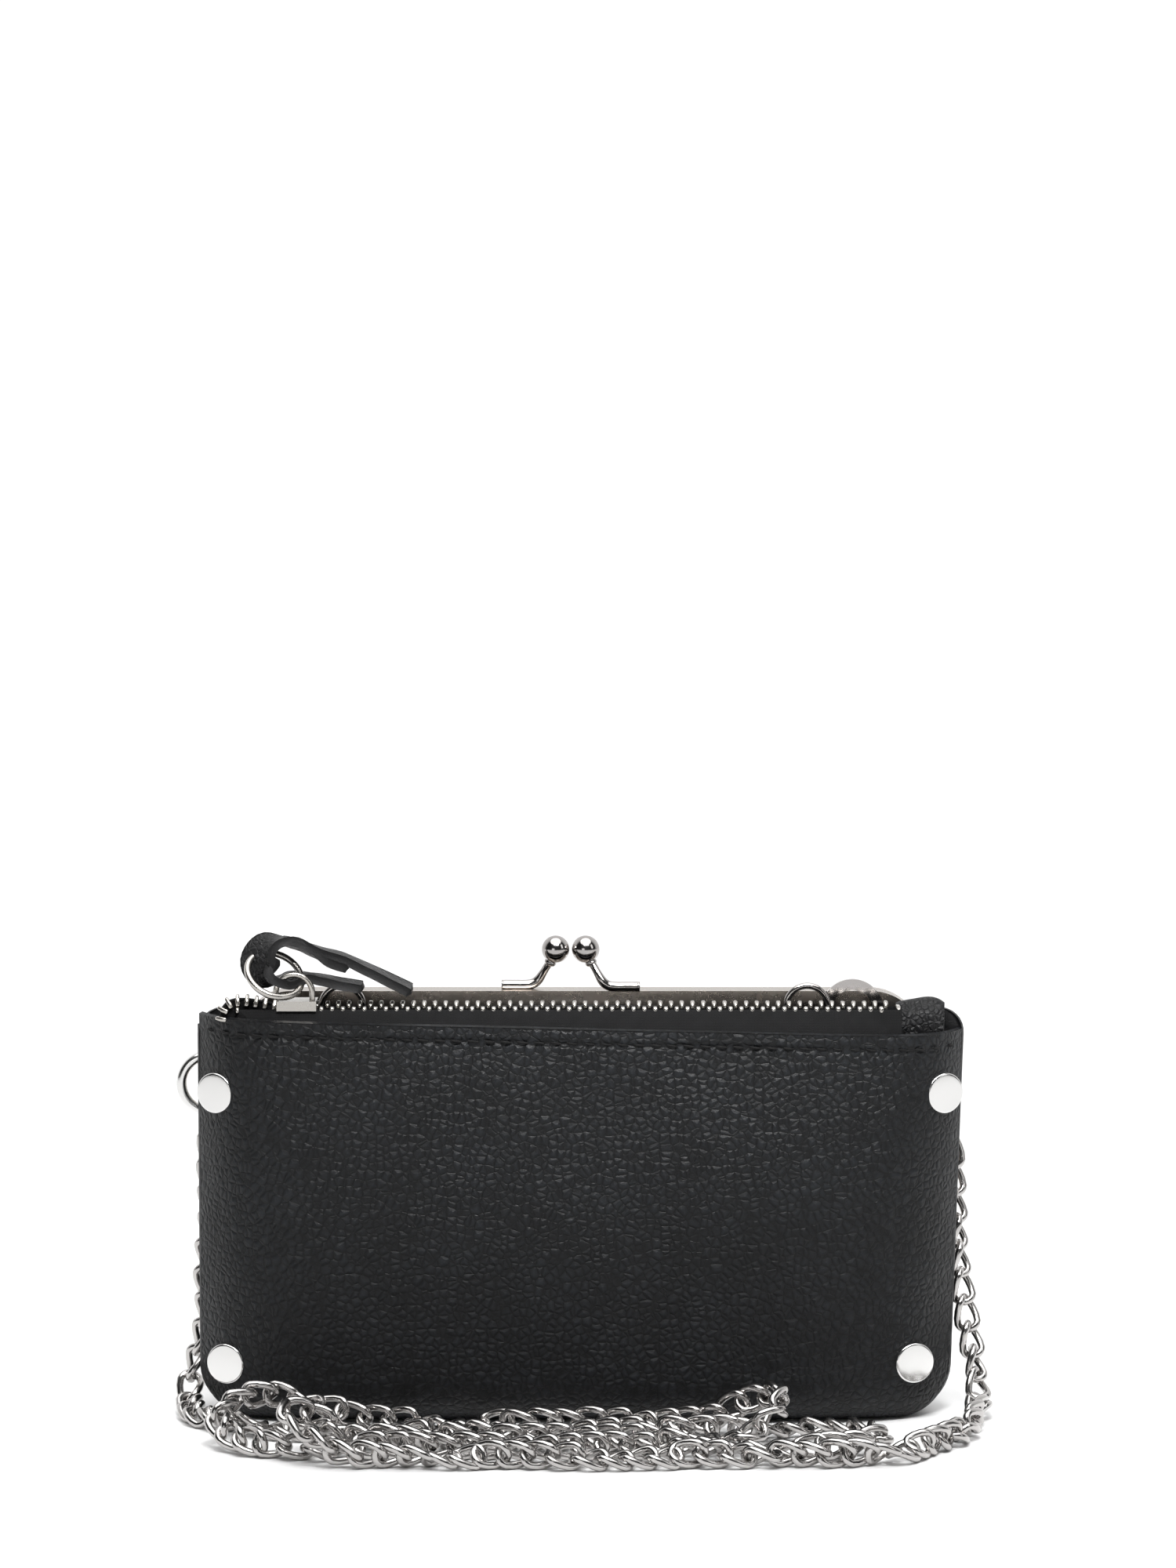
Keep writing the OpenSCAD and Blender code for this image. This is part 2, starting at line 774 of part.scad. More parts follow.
module hinge_pins() {
    head_t = 0.5;
    head_d = pin_d + 1.4;
    length = 2 * ear_t + 0.2 + 0.4;
    color(silver)
        for (side = [-1, 1])
            translate([side * (front_ear_x + length / 2 - 0.2), hinge_y, hinge_h])
                rotate([0, 90, 0]) {
                    cylinder(d = pin_d, h = length, center = true);
                    for (end = [-1, 1])
                        translate([0, 0, end * (length / 2 + head_t / 2)])
                            cylinder(d = head_d, h = head_t, center = true);
                }
}

// A clasp: a rod on the frame's top, a leaning stem and a ball over the middle
clasp_x = -2.5;
// The rod's bend stands this much proud of it
knee_rise = 0.15;
rod_sink = 0.2;
rod_l = 7.8;
rod_start = 8.8;
module clasp(turn) {
    rod_z = frame_h + rod_d / 2 - rod_sink;
    near = [-rod_start, back_groove_y - hinge_y, rod_z];
    ball = [-ball_spacing / 2, 0, frame_h + ball_rise];
    translate([clasp_x, hinge_y, 0]) rotate([0, 0, turn]) {
        bar(near, near - [rod_l, 0, 0], rod_d);
        translate(near) sphere(d = rod_d + 2 * knee_rise);
        bar(near, ball, arm_d);
        translate(ball) sphere(d = ball_d);
    }
}

module clasp_front() {
    color(silver)
        clasp(180);
}

module clasp_back() {
    color(silver)
        clasp(0);
}

// ---- purse: the flap that opens ---------------------------------------------------------
// Profile of the flap: an arc round the hinge, a shallow bulge and the frame's groove
flap_low_deg = -7;
flap_arc_deg = 60;
flap_bulge = 1.6;
function flap_profile(r) = concat(
    [for (k = [0:6]) let (a = lerp(flap_low_deg, flap_arc_deg, k / 6))
        [hinge_y + r * cos(a), hinge_h + r * sin(a)]],
    [for (k = [1:5]) let (t = k / 5)
        let (z = lerp(hinge_h + r * sin(flap_arc_deg), frame_h - frame_band - 2, t))
        [lerp(hinge_y + r * cos(flap_arc_deg), back_groove_y, t)
            + flap_bulge * sin(180 * t) + (t == 1 ? r - flap_r + leather_t / 2 : 0), z]]
);

module flap_wall(r, t, top) {
    outer = flap_profile(r);
    inner = flap_profile(r - t);
    last = len(outer) - 1;
    outer_y = back_groove_y + r - flap_r + leather_t / 2;
    polygon(concat(
        [for (k = [0:last - 1]) outer[k]],
        [[outer_y, frame_h - frame_band - 2], [outer_y, top],
         [outer_y - t, top], [outer_y - t, frame_h - frame_band - 2]],
        [for (k = [last - 1:-1:0]) inner[k]]
    ));
}

module flap_body(r, t, top, half) {
    translate([-half, 0, 0])
        rotate([90, 0, 90])
            linear_extrude(2 * half)
                flap_wall(r, t, top);
}

module flap_panel() {
    half = frame_w / 2 - frame_band + groove_d;
    inside = frame_w / 2 - frame_band - 0.5;
    top = frame_h - frame_band + groove_d;
    color(black_leather)
        intersection() {
            flap_body(flap_r, leather_t, top, half);
            slab(0, 40)
                union() {
                    translate([-inside, 0]) square([2 * inside, frame_h - frame_corner_r]);
                    translate([-inside + 8, 0]) square([2 * inside - 16, top]);
                }
        }
}

module flap_lining() {
    half = frame_w / 2 - frame_band - 3;
    color(lining_grey)
        intersection() {
            flap_body(flap_r - leather_t - lining_gap, lining_t, frame_h - frame_band - 1, half);
            slab(0, 40)
                translate([-half, hinge_h])
                    square([2 * half, frame_h]);
        }
}

// ---- side rings -----------------------------------------------------------------------------
left_ring_x = 2 - half_w;
right_ring_x = half_w - 8;
side_ring_z = hem_h - 15.8;
side_ring_y = middle_back_y + chain_d / 2 + 0.3;
side_mid_r = (side_ring_d - side_wire_d) / 2;
side_tab_w = 5;
right_link_deg = 25;

module side_ring(x) {
    color(silver)
        translate([x, side_ring_y, side_ring_z])
            rotate([90, 0, 0])
                wire_ring(side_ring_d, side_wire_d);
}

// A leather loop round the top of the ring, with its stem sewn to the middle panel
module side_tab(x) {
    loop_in = side_wire_d / 2 + 0.15;
    loop_out = min(loop_in + 0.9, frame_front_y - side_ring_y - 0.15);
    sag = 0.5;
    loop_z = side_ring_z + side_mid_r;
    color(black_leather)
        difference() {
            union() {
                translate([x, side_ring_y, loop_z])
                    rotate([0, 90, 0])
                        cylinder(r = loop_out, h = side_tab_w, center = true);
                translate([x, side_ring_y, loop_z - sag])
                    rotate([0, 90, 0])
                        cylinder(r = loop_out, h = side_tab_w, center = true);
                translate([x - side_tab_w / 2, side_ring_y - loop_out, loop_z - sag])
                    cube([side_tab_w, 2 * loop_out, sag]);
                translate([x - side_tab_w / 2, middle_back_y, loop_z])
                    cube([side_tab_w, side_ring_y - middle_back_y, loop_out]);
                translate([x - side_tab_w / 2, middle_back_y, loop_z])
                    cube([side_tab_w, leather_t, 8]);
            }
            translate([x, side_ring_y, loop_z])
                rotate([0, 90, 0])
                    cylinder(r = loop_in, h = side_tab_w + 1, center = true);
            translate([x, side_ring_y, loop_z - sag])
                rotate([0, 90, 0])
                    cylinder(r = loop_in, h = side_tab_w + 1, center = true);
            translate([x - side_tab_w, side_ring_y - loop_in, loop_z - sag])
                cube([2 * side_tab_w, 2 * loop_in, sag]);
        }
}

module side_ring_left() {
    side_ring(left_ring_x);
}

module side_ring_right() {
    side_ring(right_ring_x);
}

module side_tab_left() {
    side_tab(left_ring_x);
}

module side_tab_right() {
    side_tab(right_ring_x);
}

// ---- rings in the valley between the pouches ---------------------------------------------------
gap_left_x = 34 - half_w;
gap_right_x = half_w - 37;
gap_flat_x = half_w - 26;
gap_ring_top = frame_h + 2.6;
wall_room = 0.25;
gap_ring_y = middle_back_y + wall_room + gap_wire_d / 2;
flat_ring_y = frame_front_y - wall_room - flat_ring_t;
flat_band = 2.6;

module gap_ring(x) {
    color(silver)
        translate([x, gap_ring_y, gap_ring_top - gap_ring_d / 2])
            rotate([90, 0, 0])
                wire_ring(gap_ring_d, gap_wire_d);
}

module gap_ring_left() {
    gap_ring(gap_left_x);
}

module gap_ring_right() {
    gap_ring(gap_right_x);
}

module gap_ring_flat() {
    color(silver)
        translate([gap_flat_x, flat_ring_y + flat_ring_t, gap_ring_top + 0.4 - flat_ring_d / 2])
            rotate([90, 0, 0])
                difference() {
                    cylinder(d = flat_ring_d, h = flat_ring_t);
                    translate([0, 0, -1])
                        cylinder(d = flat_ring_d - 2 * flat_band, h = flat_ring_t + 2);
                }
}

// Leather keepers under the rings, sewn to the middle panel's back
module ring_loops() {
    keeper_l = 3;
    shelf_t = 1;
    color(black_leather)
        for (place = [[gap_left_x, gap_ring_d], [gap_right_x, gap_ring_d],
                      [gap_flat_x + 1.5, flat_ring_d]])
            translate([place[0] - keeper_l / 2, middle_back_y,
                       gap_ring_top - place[1] - shelf_t - 0.2])
                cube([keeper_l, valley - 0.2, shelf_t]);
}

// ---- chain ------------------------------------------------------------------------------------
floor_z = chain_d / 2;
over_z = floor_z + chain_d + 0.2;

// The chain's route from the left ring to the right ring: hand-laid places, round numbers
chain_route = [
    [-89, 4.3, 66], [-90, 4.6, 45], [-91, 5, 22], [-94, 1, 6], [-90, -15, floor_z],
    // first pass, to the right
    [-74, -27, floor_z], [-50, -32, floor_z], [-15, -33, floor_z], [30, -32, floor_z],
    [57, -29, floor_z], [69, -39, floor_z], [57, -49, floor_z],
    // second pass, back to the left
    [30, -48, floor_z], [-10, -49, floor_z], [-48, -48, floor_z],
    [-72, -47, floor_z], [-84, -36, 7], [-74, -25, over_z],
    // third pass, close to the pouch
    [-50, -23, 5], [-18, -24, floor_z], [22, -23, floor_z],
    [42, -27, over_z], [46, -35, over_z], [36, -41, 5],
    // fourth pass
    [10, -40, floor_z], [-20, -41, floor_z], [-48, -40, floor_z],
    [-64, -44, over_z], [-66, -52, over_z], [-54, -57, 5],
    // fifth pass, along the front, then round to the right ring
    [-30, -57, floor_z], [0, -58, floor_z], [32, -56, floor_z], [66, -55, floor_z],
    [84, -40, floor_z], [93, -18, floor_z], [95, -1, 8], [92, 4.6, 28],
    [90, 4.8, 50], [88.5, 4.3, 67.2]
];
rings_per_span = 2;

function spline(a, b, c, d, t) = 0.5 * (2 * b + (c - a) * t
    + (2 * a - 5 * b + 4 * c - d) * t * t + (3 * b - a - 3 * c + d) * t * t * t);
function above_floor(p) = [p[0], p[1], max(floor_z, p[2])];

// The places suit a wallet this wide with its side rings this high, and follow both
laid_half_w = 91;
laid_ring_z = 79;
laid_end_z = 66;
function laid(p) = [
    p[0] * half_w / laid_half_w, p[1],
    p[2] > over_z ? p[2] + (side_ring_z - laid_ring_z) * min(1, p[2] / laid_end_z) : p[2]
];
chain_places = [for (p = chain_route) laid(p)];
function route_at(k, t) = let (n = len(chain_places) - 1)
    above_floor(spline(chain_places[max(0, k - 1)], chain_places[k],
                       chain_places[min(n, k + 1)], chain_places[min(n, k + 2)], t));
route_line = concat(
    [for (k = [0:len(chain_places) - 2], s = [0:rings_per_span - 1])
        route_at(k, s / rings_per_span)],
    [chain_places[len(chain_places) - 1]]
);

function heading(line, i) = unit(line[min(i + 1, len(line) - 1)] - line[max(i - 1, 0)]);

// The sideways direction is carried along the route, so the tube doesn't twist
function carried(line, i) = i == 0
    ? unit(cross(heading(line, 0), [0, 1, 0]))
    : let (h = heading(line, i), s = carried(line, i - 1)) unit(s - (s * h) * h);

tube_sides = 8;
function tube_ring(line, i, side) = let (h = heading(line, i), up = cross(h, side))
    [for (k = [0:tube_sides - 1]) let (a = 360 * k / tube_sides)
        line[i] + chain_d / 2 * (cos(a) * side + sin(a) * up)];

module tube(line) {
    n = len(line);
    points = flatten([for (i = [0:n - 1]) tube_ring(line, i, carried(line, i))]);
    walls = [for (i = [0:n - 2], k = [0:tube_sides - 1])
        let (a = i * tube_sides + k, b = i * tube_sides + (k + 1) % tube_sides)
        each [[a, a + tube_sides, b], [b, a + tube_sides, b + tube_sides]]];
    start = [[for (k = [0:tube_sides - 1]) k]];
    end = [[for (k = [tube_sides - 1:-1:0]) (n - 1) * tube_sides + k]];
    polyhedron(points = points, faces = concat(walls, start, end), convexity = 10);
}

module chain_strap() {
    color(silver)
        tube(route_line);
}

// The chain's end link hangs in a side ring, turned round the ring by an angle
module chain_end(x, deg) {
    bend_r = (chain_d - link_wire_d) / 2;
    straight = link_l - chain_d;
    top = side_mid_r - side_wire_d / 2 - 0.15 - link_wire_d / 2;
    color(silver)
        translate([x, side_ring_y, side_ring_z])
            rotate([0, -deg, 0])
                translate([0, 0, -top - bend_r - straight / 2])
                    rotate([90, 0, 90]) {
                        for (end = [0, 1])
                            rotate([0, 0, 180 * end])
                                translate([0, straight / 2, 0])
                                    rotate_extrude(angle = 180)
                                        translate([bend_r, 0])
                                            circle(d = link_wire_d);
                        for (side = [-1, 1])
                            translate([side * bend_r, -straight / 2, 0])
                                rotate([-90, 0, 0])
                                    cylinder(d = link_wire_d, h = straight);
                    }
}

module chain_end_left() {
    chain_end(left_ring_x, 0);
}

module chain_end_right() {
    chain_end(right_ring_x, right_link_deg);
}

pouch_front_panel();
middle_panel();
pouch_lining();
zip_tape_front();
zip_tape_back();
zip_teeth_front();
zip_teeth_back();
zip_stops();
zip_end_tab();
rivet_caps();
rivet_bases();
slider_body();
slider_bail();
puller_ring();
pull_strap();
purse_front_panel();
purse_back_panel();
purse_lining();
frame_front();
clasp_front();
hinge_pins();
frame_back();
clasp_back();
flap_panel();
flap_lining();
side_tab_left();
side_tab_right();
side_ring_left();
side_ring_right();
ring_loops();
gap_ring_left();
gap_ring_right();
gap_ring_flat();
chain_strap();
chain_end_left();
chain_end_right();
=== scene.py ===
"""A black leather double wallet on a silver chain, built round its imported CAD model."""

import math
import random

import bpy
import numpy as np
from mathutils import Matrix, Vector
from mathutils.noise import noise


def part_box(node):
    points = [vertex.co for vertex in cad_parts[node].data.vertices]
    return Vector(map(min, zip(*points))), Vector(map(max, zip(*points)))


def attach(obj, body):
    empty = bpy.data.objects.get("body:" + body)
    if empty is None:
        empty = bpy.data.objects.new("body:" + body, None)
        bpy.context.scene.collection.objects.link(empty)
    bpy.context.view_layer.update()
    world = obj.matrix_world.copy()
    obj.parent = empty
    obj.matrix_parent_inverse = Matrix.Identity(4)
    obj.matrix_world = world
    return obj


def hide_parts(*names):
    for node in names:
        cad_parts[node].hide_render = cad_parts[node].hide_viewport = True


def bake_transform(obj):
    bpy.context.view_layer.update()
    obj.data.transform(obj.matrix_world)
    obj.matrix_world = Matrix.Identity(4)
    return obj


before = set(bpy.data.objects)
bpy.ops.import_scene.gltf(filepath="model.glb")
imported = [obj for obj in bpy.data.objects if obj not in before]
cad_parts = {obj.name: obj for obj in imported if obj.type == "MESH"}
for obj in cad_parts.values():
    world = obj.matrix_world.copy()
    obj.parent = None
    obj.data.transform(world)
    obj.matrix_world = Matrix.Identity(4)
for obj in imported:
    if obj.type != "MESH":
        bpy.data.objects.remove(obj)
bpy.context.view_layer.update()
random.seed(7)

MM = 0.001


# ---- sizes, in millimetres ---------------------------------------------------------------------
def mm_box(node):
    """A CAD node's lowest and highest corners in millimetres."""
    low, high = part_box(node)
    return Vector(low) / MM, Vector(high) / MM


panel_low, panel_high = mm_box("middle_panel")
half_w = panel_high.x
middle_h = panel_high.z
panel_front_y = panel_low.y
panel_back_y = panel_high.y
leather_t = panel_high.y - panel_low.y

# The pouch front: it bulges between its seams and is drawn in on the right
hem_h = 94.8
hem_slope = 0.0225
right_draw_in = 3.0
lower_corner_r = 12.0
top_depth = 15.6
bulge = 2.2
base_turn_h = 12.0
base_flat = 7.0
base_rise = 0.3
side_power = 8.0
hem_power = 6.0
seam_gap = 0.02

# The purse: it leaves the middle panel below its hinge and stands in the frame above
purse_high = mm_box("purse_back_panel")[1]
purse_half_w = purse_high.x
purse_wall_y = purse_high.y
frame_low, frame_high = mm_box("frame_back")
groove_shift = 0.05
front_groove_y = (mm_box("frame_front")[0].y + frame_low.y) / 2 - groove_shift
back_groove_y = (frame_low.y + frame_high.y) / 2 - groove_shift
frame_band = 6.0
hinge_z = 48.0
opening_half_w = frame_high.x - frame_band
opening_h = frame_high.z - frame_band
# How far the leather reaches into the frame's groove
groove_reach = 2.2

slider_low, slider_high = mm_box("slider_body")
zip_y = (slider_low.y + slider_high.y) / 2


def lerp(a, b, t):
    return a + (b - a) * t


def smooth(a, b, value):
    """0 below a, 1 above b and an even curve between them."""
    t = min(1.0, max(0.0, (value - a) / (b - a)))
    return t * t * (3 - 2 * t)


def corner_in(past, r):
    """How far a rounded corner draws an edge in at a distance past the corner's start."""
    past = min(max(past, 0.0), r)
    return r - math.sqrt(max(0.0, r * r - past * past))


# ---- materials ---------------------------------------------------------------------------------
class Nodes:
    """Shorthand for building one material's node tree."""

    def __init__(self, name):
        self.material = bpy.data.materials.new(name)
        self.material.use_nodes = True
        self.tree = self.material.node_tree
        self.shader = self.tree.nodes["Principled BSDF"]
        self.coords = self.add("ShaderNodeTexCoord").outputs["Object"]

    def add(self, kind, **settings):
        node = self.tree.nodes.new(kind)
        for key, value in settings.items():
            setattr(node, key, value)
        return node

    def link(self, source, target):
        self.tree.links.new(source, target)

    def noise(self, scale, detail=4.0, roughness=0.55, coords=None):
        node = self.add("ShaderNodeTexNoise")
        node.inputs["Scale"].default_value = scale
        node.inputs["Detail"].default_value = detail
        node.inputs["Roughness"].default_value = roughness
        self.link(coords or self.coords, node.inputs["Vector"])
        return node.outputs["Fac"]

    def warped(self, scale, amount):
        """Object coordinates pushed about by noise."""
        source = self.add("ShaderNodeTexNoise")
        source.inputs["Scale"].default_value = scale
        self.link(self.coords, source.inputs["Vector"])
        centred = self.add("ShaderNodeVectorMath", operation="SUBTRACT")
        centred.inputs[1].default_value = (0.5, 0.5, 0.5)
        self.link(source.outputs["Color"], centred.inputs[0])
        scaled = self.add("ShaderNodeVectorMath", operation="SCALE")
        scaled.inputs["Scale"].default_value = amount
        self.link(centred.outputs["Vector"], scaled.inputs[0])
        total = self.add("ShaderNodeVectorMath", operation="ADD")
        self.link(self.coords, total.inputs[0])
        self.link(scaled.outputs["Vector"], total.inputs[1])
        return total.outputs["Vector"]

    def cells(self, scale, coords):
        """Distance to the edge of irregular cells, scale of them to a metre."""
        node = self.add("ShaderNodeTexVoronoi", feature="DISTANCE_TO_EDGE")
        node.inputs["Scale"].default_value = scale
        self.link(coords, node.inputs["Vector"])
        return node.outputs["Distance"]

    def ramp(self, value, stops):
        """stops are (position, colour) pairs; a plain number stands for a grey."""
        node = self.add("ShaderNodeValToRGB")
        points = node.color_ramp.elements
        while len(points) < len(stops):
            points.new(0.5)
        for point, (position, colour) in zip(points, stops):
            point.position = position
            rgb = colour if isinstance(colour, tuple) else (colour,) * 3
            point.color = (*rgb, 1.0)
        self.link(value, node.inputs["Fac"])
        return node.outputs["Color"]

    def math(self, operation, a, b):
        node = self.add("ShaderNodeMath", operation=operation)
        for socket, value in zip(node.inputs, (a, b)):
            if isinstance(value, (int, float)):
                socket.default_value = value
            else:
                self.link(value, socket)
        return node.outputs["Value"]

    def bump(self, height, distance, strength=1.0, under=None):
        node = self.add("ShaderNodeBump")
        node.inputs["Distance"].default_value = distance
        node.inputs["Strength"].default_value = strength
        self.link(height, node.inputs["Height"])
        if under:
            self.link(under, node.inputs["Normal"])
        return node.outputs["Normal"]

    def finish(self, colour=None, roughness=None, normal=None, **constants):
        for name, value in constants.items():
            self.shader.inputs[name.replace("_", " ")].default_value = value
        for name, value in (("Base Color", colour), ("Roughness", roughness), ("Normal", normal)):
            if value is None:
                continue
            if isinstance(value, (int, float, tuple)):
                self.shader.inputs[name].default_value = value
            else:
                self.link(value, self.shader.inputs[name])
        return self.material


def pebbled_leather(name, dark, light, cell=1.75, depth=0.34, rough=(0.40, 0.56)):
    """Leather with a pebble grain. cell is a pebble's size and depth its height, in mm."""
    m = Nodes(name)
    bent = m.warped(300, 0.0009)
    pebbles = m.cells(1 / (cell * MM), bent)
    fine = m.cells(2.3 / (cell * MM), m.warped(500, 0.0005))
    broad = m.noise(28, 3)
    height = m.ramp(pebbles, [(0.0, 0.0), (0.12, 0.35), (0.42, 1.0)])
    small = m.ramp(fine, [(0.0, 0.0), (0.14, 1.0)])
    pores = m.noise(5200, 2)
    normal = m.bump(broad, 0.0006, 0.35)
    normal = m.bump(pores, 0.00004, 0.4, normal)
    normal = m.bump(small, 0.2 * depth * MM, 0.35, normal)
    normal = m.bump(height, depth * MM, 0.9, normal)
    # Painted shade: the colour darkens into the grain's grooves, where shade falls between the
    # pebbles, and lightens on the raised pebbles; a noise also varies the tone in random patches
    groove_shade_and_tone = m.math("MULTIPLY", height, m.ramp(m.noise(60, 4), [(0.35, 0.35), (0.7, 1.0)]))
    brightest = tuple(1.25 * c for c in light)
    colour = m.ramp(groove_shade_and_tone, [(0.0, dark), (0.55, light), (1.0, brightest)])
    roughness = m.ramp(m.noise(90, 5), [(0.3, rough[0]), (0.75, rough[1])])
    return m.finish(colour, roughness, normal, Specular_IOR_Level=0.27)


def smooth_leather(name, dark, light, rough=(0.38, 0.58)):
    """Leather with its grain pressed flat: folded edges, tabs and bindings."""
    m = Nodes(name)
    creases = m.cells(900, m.warped(400, 0.0015))
    height = m.ramp(creases, [(0.0, 0.0), (0.12, 1.0)])
    normal = m.bump(m.noise(120, 5), 0.0004, 0.4)
    normal = m.bump(height, 0.00006, 0.5, normal)
    colour = m.ramp(m.noise(75, 5), [(0.3, dark), (0.75, light)])
    roughness = m.ramp(m.noise(210, 4), [(0.3, rough[0]), (0.7, rough[1])])
    return m.finish(colour, roughness, normal, Specular_IOR_Level=0.34)


def woven(name, dark, light, scale, depth=0.06):
    """Plain woven cloth. scale sets how fine its threads are and depth their height, in mm."""
    m = Nodes(name)
    waves = []
    for axis in ("X", "Z"):
        wave = m.add("ShaderNodeTexWave", bands_direction=axis)
        wave.inputs["Scale"].default_value = scale
        wave.inputs["Distortion"].default_value = 0.6
        m.link(m.coords, wave.inputs["Vector"])
        waves.append(wave.outputs["Fac"])
    weave = m.math("MULTIPLY", waves[0], waves[1])
    colour = m.ramp(m.math("ADD", weave, m.noise(300, 4)), [(0.3, dark), (1.2, light)])
    normal = m.bump(weave, depth * MM, 0.8)
    return m.finish(colour, 0.82, normal, Specular_IOR_Level=0.2, Sheen_Weight=0.02)


def metal(name, colour, rough, wear=0.1, mottle=0.06):
    """Plated metal with a fine texture, smudges that dull it by wear and mottled colour."""
    m = Nodes(name)
    smudge = m.noise(140, 5)
    fine = m.noise(2600, 3)
    dark = tuple(c * (1 - mottle) for c in colour)
    tint = m.ramp(smudge, [(0.3, dark), (0.7, colour)])
    roughness = m.ramp(smudge, [(0.3, rough), (0.8, rough + wear)])
    normal = m.bump(fine, 0.000012, 0.35)
    return m.finish(tint, roughness, normal, Metallic=1.0)


black = pebbled_leather("pebbled_leather", (0.0010, 0.0011, 0.0014), (0.0070, 0.0082, 0.0100),
                        cell=1.85, depth=0.33, rough=(0.44, 0.58))
strap_black = pebbled_leather("strap_leather", (0.002, 0.002, 0.0022), (0.008, 0.008, 0.009),
                              cell=1.2, depth=0.3)
trim_black = smooth_leather("trim_leather", (0.0035, 0.0035, 0.004), (0.009, 0.009, 0.010))
cut_edge = smooth_leather("cut_edge", (0.005, 0.005, 0.0053), (0.014, 0.014, 0.0145),
                          rough=(0.6, 0.8))
tape_cloth = woven("zip_tape_cloth", (0.002, 0.002, 0.0022), (0.007, 0.007, 0.0075), 900)
lining_cloth = woven("lining_cloth", (0.02, 0.02, 0.022), (0.06, 0.06, 0.065), 600)
thread = woven("thread", (0.003, 0.003, 0.003), (0.012, 0.012, 0.012), 1600, depth=0.03)
chain_silver = metal("chain_silver", (0.50, 0.485, 0.475), 0.14)
bright_silver = metal("bright_silver", (0.78, 0.775, 0.765), 0.14)
zip_silver = metal("zip_silver", (0.50, 0.48, 0.45), 0.22)
frame_gunmetal = metal("frame_gunmetal", (0.40, 0.36, 0.32), 0.26, wear=0.03, mottle=0.02)
clasp_silver = metal("clasp_silver", (0.42, 0.40, 0.39), 0.10, wear=0.05)


# ---- mesh helpers ------------------------------------------------------------------------------
def add_piece(name, points, faces, material, body, nodes=(), rim=None):
    """A smooth-shaded mesh piece from points in millimetres. rim is (first face, material)."""
    mesh = bpy.data.meshes.new(name)
    mesh.from_pydata([Vector(p) * MM for p in points], [], faces)
    mesh.polygons.foreach_set("use_smooth", [True] * len(mesh.polygons))
    mesh.materials.append(material)
    if rim:
        mesh.materials.append(rim[1])
        for polygon in mesh.polygons[rim[0]:]:
            polygon.material_index = 1
    mesh.update()
    piece = bpy.data.objects.new(name, mesh)
    bpy.context.collection.objects.link(piece)
    if body:
        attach(piece, body)
    if nodes:
        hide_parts(*nodes)
    return piece


def join(parts):
    """One list of points and one of faces from several such pairs."""
    points, faces = [], []
    for part_points, part_faces in parts:
        base = len(points)
        points += part_points
        faces += [[base + i for i in face] for face in part_faces]
    return points, faces


def grid_faces(rows, columns, base=0, flip=False):
    """Quads over a grid of points whose first point is number base."""
    faces = []
    for i in range(rows - 1):
        for j in range(columns - 1):
            a = base + i * columns + j
            face = [a, a + 1, a + columns + 1, a + columns]
            faces.append(face[::-1] if flip else face)
    return faces


RIM_SWELL = 0.3


def thick_sheet(grid, thickness):
    """A closed sheet: grid is its outer face, and rounded rims join it to an inner face.

    Returns points, faces and the number of the first face of the rims. Each rim swells
    past the sheet's edge by a share of its thickness, but not below the floor.
    """
    rows, columns = len(grid), len(grid[0])

    def normal(i, j):
        down = grid[min(i + 1, rows - 1)][j] - grid[max(i - 1, 0)][j]
        across = grid[i][min(j + 1, columns - 1)] - grid[i][max(j - 1, 0)]
        n = down.cross(across)
        return n.normalized() if n.length > 1e-9 else Vector((0, -1, 0))

    outer = [p for row in grid for p in row]
    inner = [grid[i][j] - thickness * normal(i, j) for i in range(rows) for j in range(columns)]
    faces = grid_faces(rows, columns, flip=True) + grid_faces(rows, columns, base=len(outer))
    rim_start = len(faces)
    around = ([(0, j) for j in range(columns)] + [(i, columns - 1) for i in range(1, rows)]
              + [(rows - 1, j) for j in range(columns - 2, -1, -1)]
              + [(i, 0) for i in range(rows - 2, 0, -1)])
    points = outer + inner
    middles = []
    for i, j in around:
        i0, j0 = min(max(i, 1), rows - 2), min(max(j, 1), columns - 2)
        out = grid[i][j] - grid[i0][j0]
        out = out.normalized() if out.length > 1e-9 else Vector((0, 0, 0))
        middle = grid[i][j] - 0.5 * thickness * normal(i, j) + RIM_SWELL * thickness * out
        middle.z = max(middle.z, 0.0)
        middles.append(len(points))
        points.append(middle)
    for k in range(len(around)):
        following = (k + 1) % len(around)
        a = around[k][0] * columns + around[k][1]
        b = around[following][0] * columns + around[following][1]
        m, n = middles[k], middles[following]
        faces.append([m, n, b, a])
        faces.append([a + len(outer), b + len(outer), n, m])
    return points, faces, rim_start


def sweep(path, radius, sides=12, closed=False, side_hint=Vector((0, 1, 0))):
    """A round wire along path. radius may be a list with one value for each point."""
    count = len(path)
    points, faces = [], []
    side = None
    for i in range(count):
        before = path[(i - 1) % count] if closed or i else path[0]
        after = path[(i + 1) % count] if closed or i < count - 1 else path[-1]
        heading = (after - before).normalized()
        side = side_hint if side is None else side
        side = (side - side.dot(heading) * heading).normalized()
        up = heading.cross(side)
        r = radius[i] if isinstance(radius, list) else radius
        for k in range(sides):
            a = 2 * math.pi * k / sides
            points.append(path[i] + r * (math.cos(a) * side + math.sin(a) * up))
    for i in range(count if closed else count - 1):
        for k in range(sides):
            a, b = i * sides + k, i * sides + (k + 1) % sides
            c, d = (a + sides) % (count * sides), (b + sides) % (count * sides)
            faces.append([a, b, d, c])
    if not closed:
        faces.append(list(range(sides))[::-1])
        faces.append([(count - 1) * sides + k for k in range(sides)])
    return points, faces


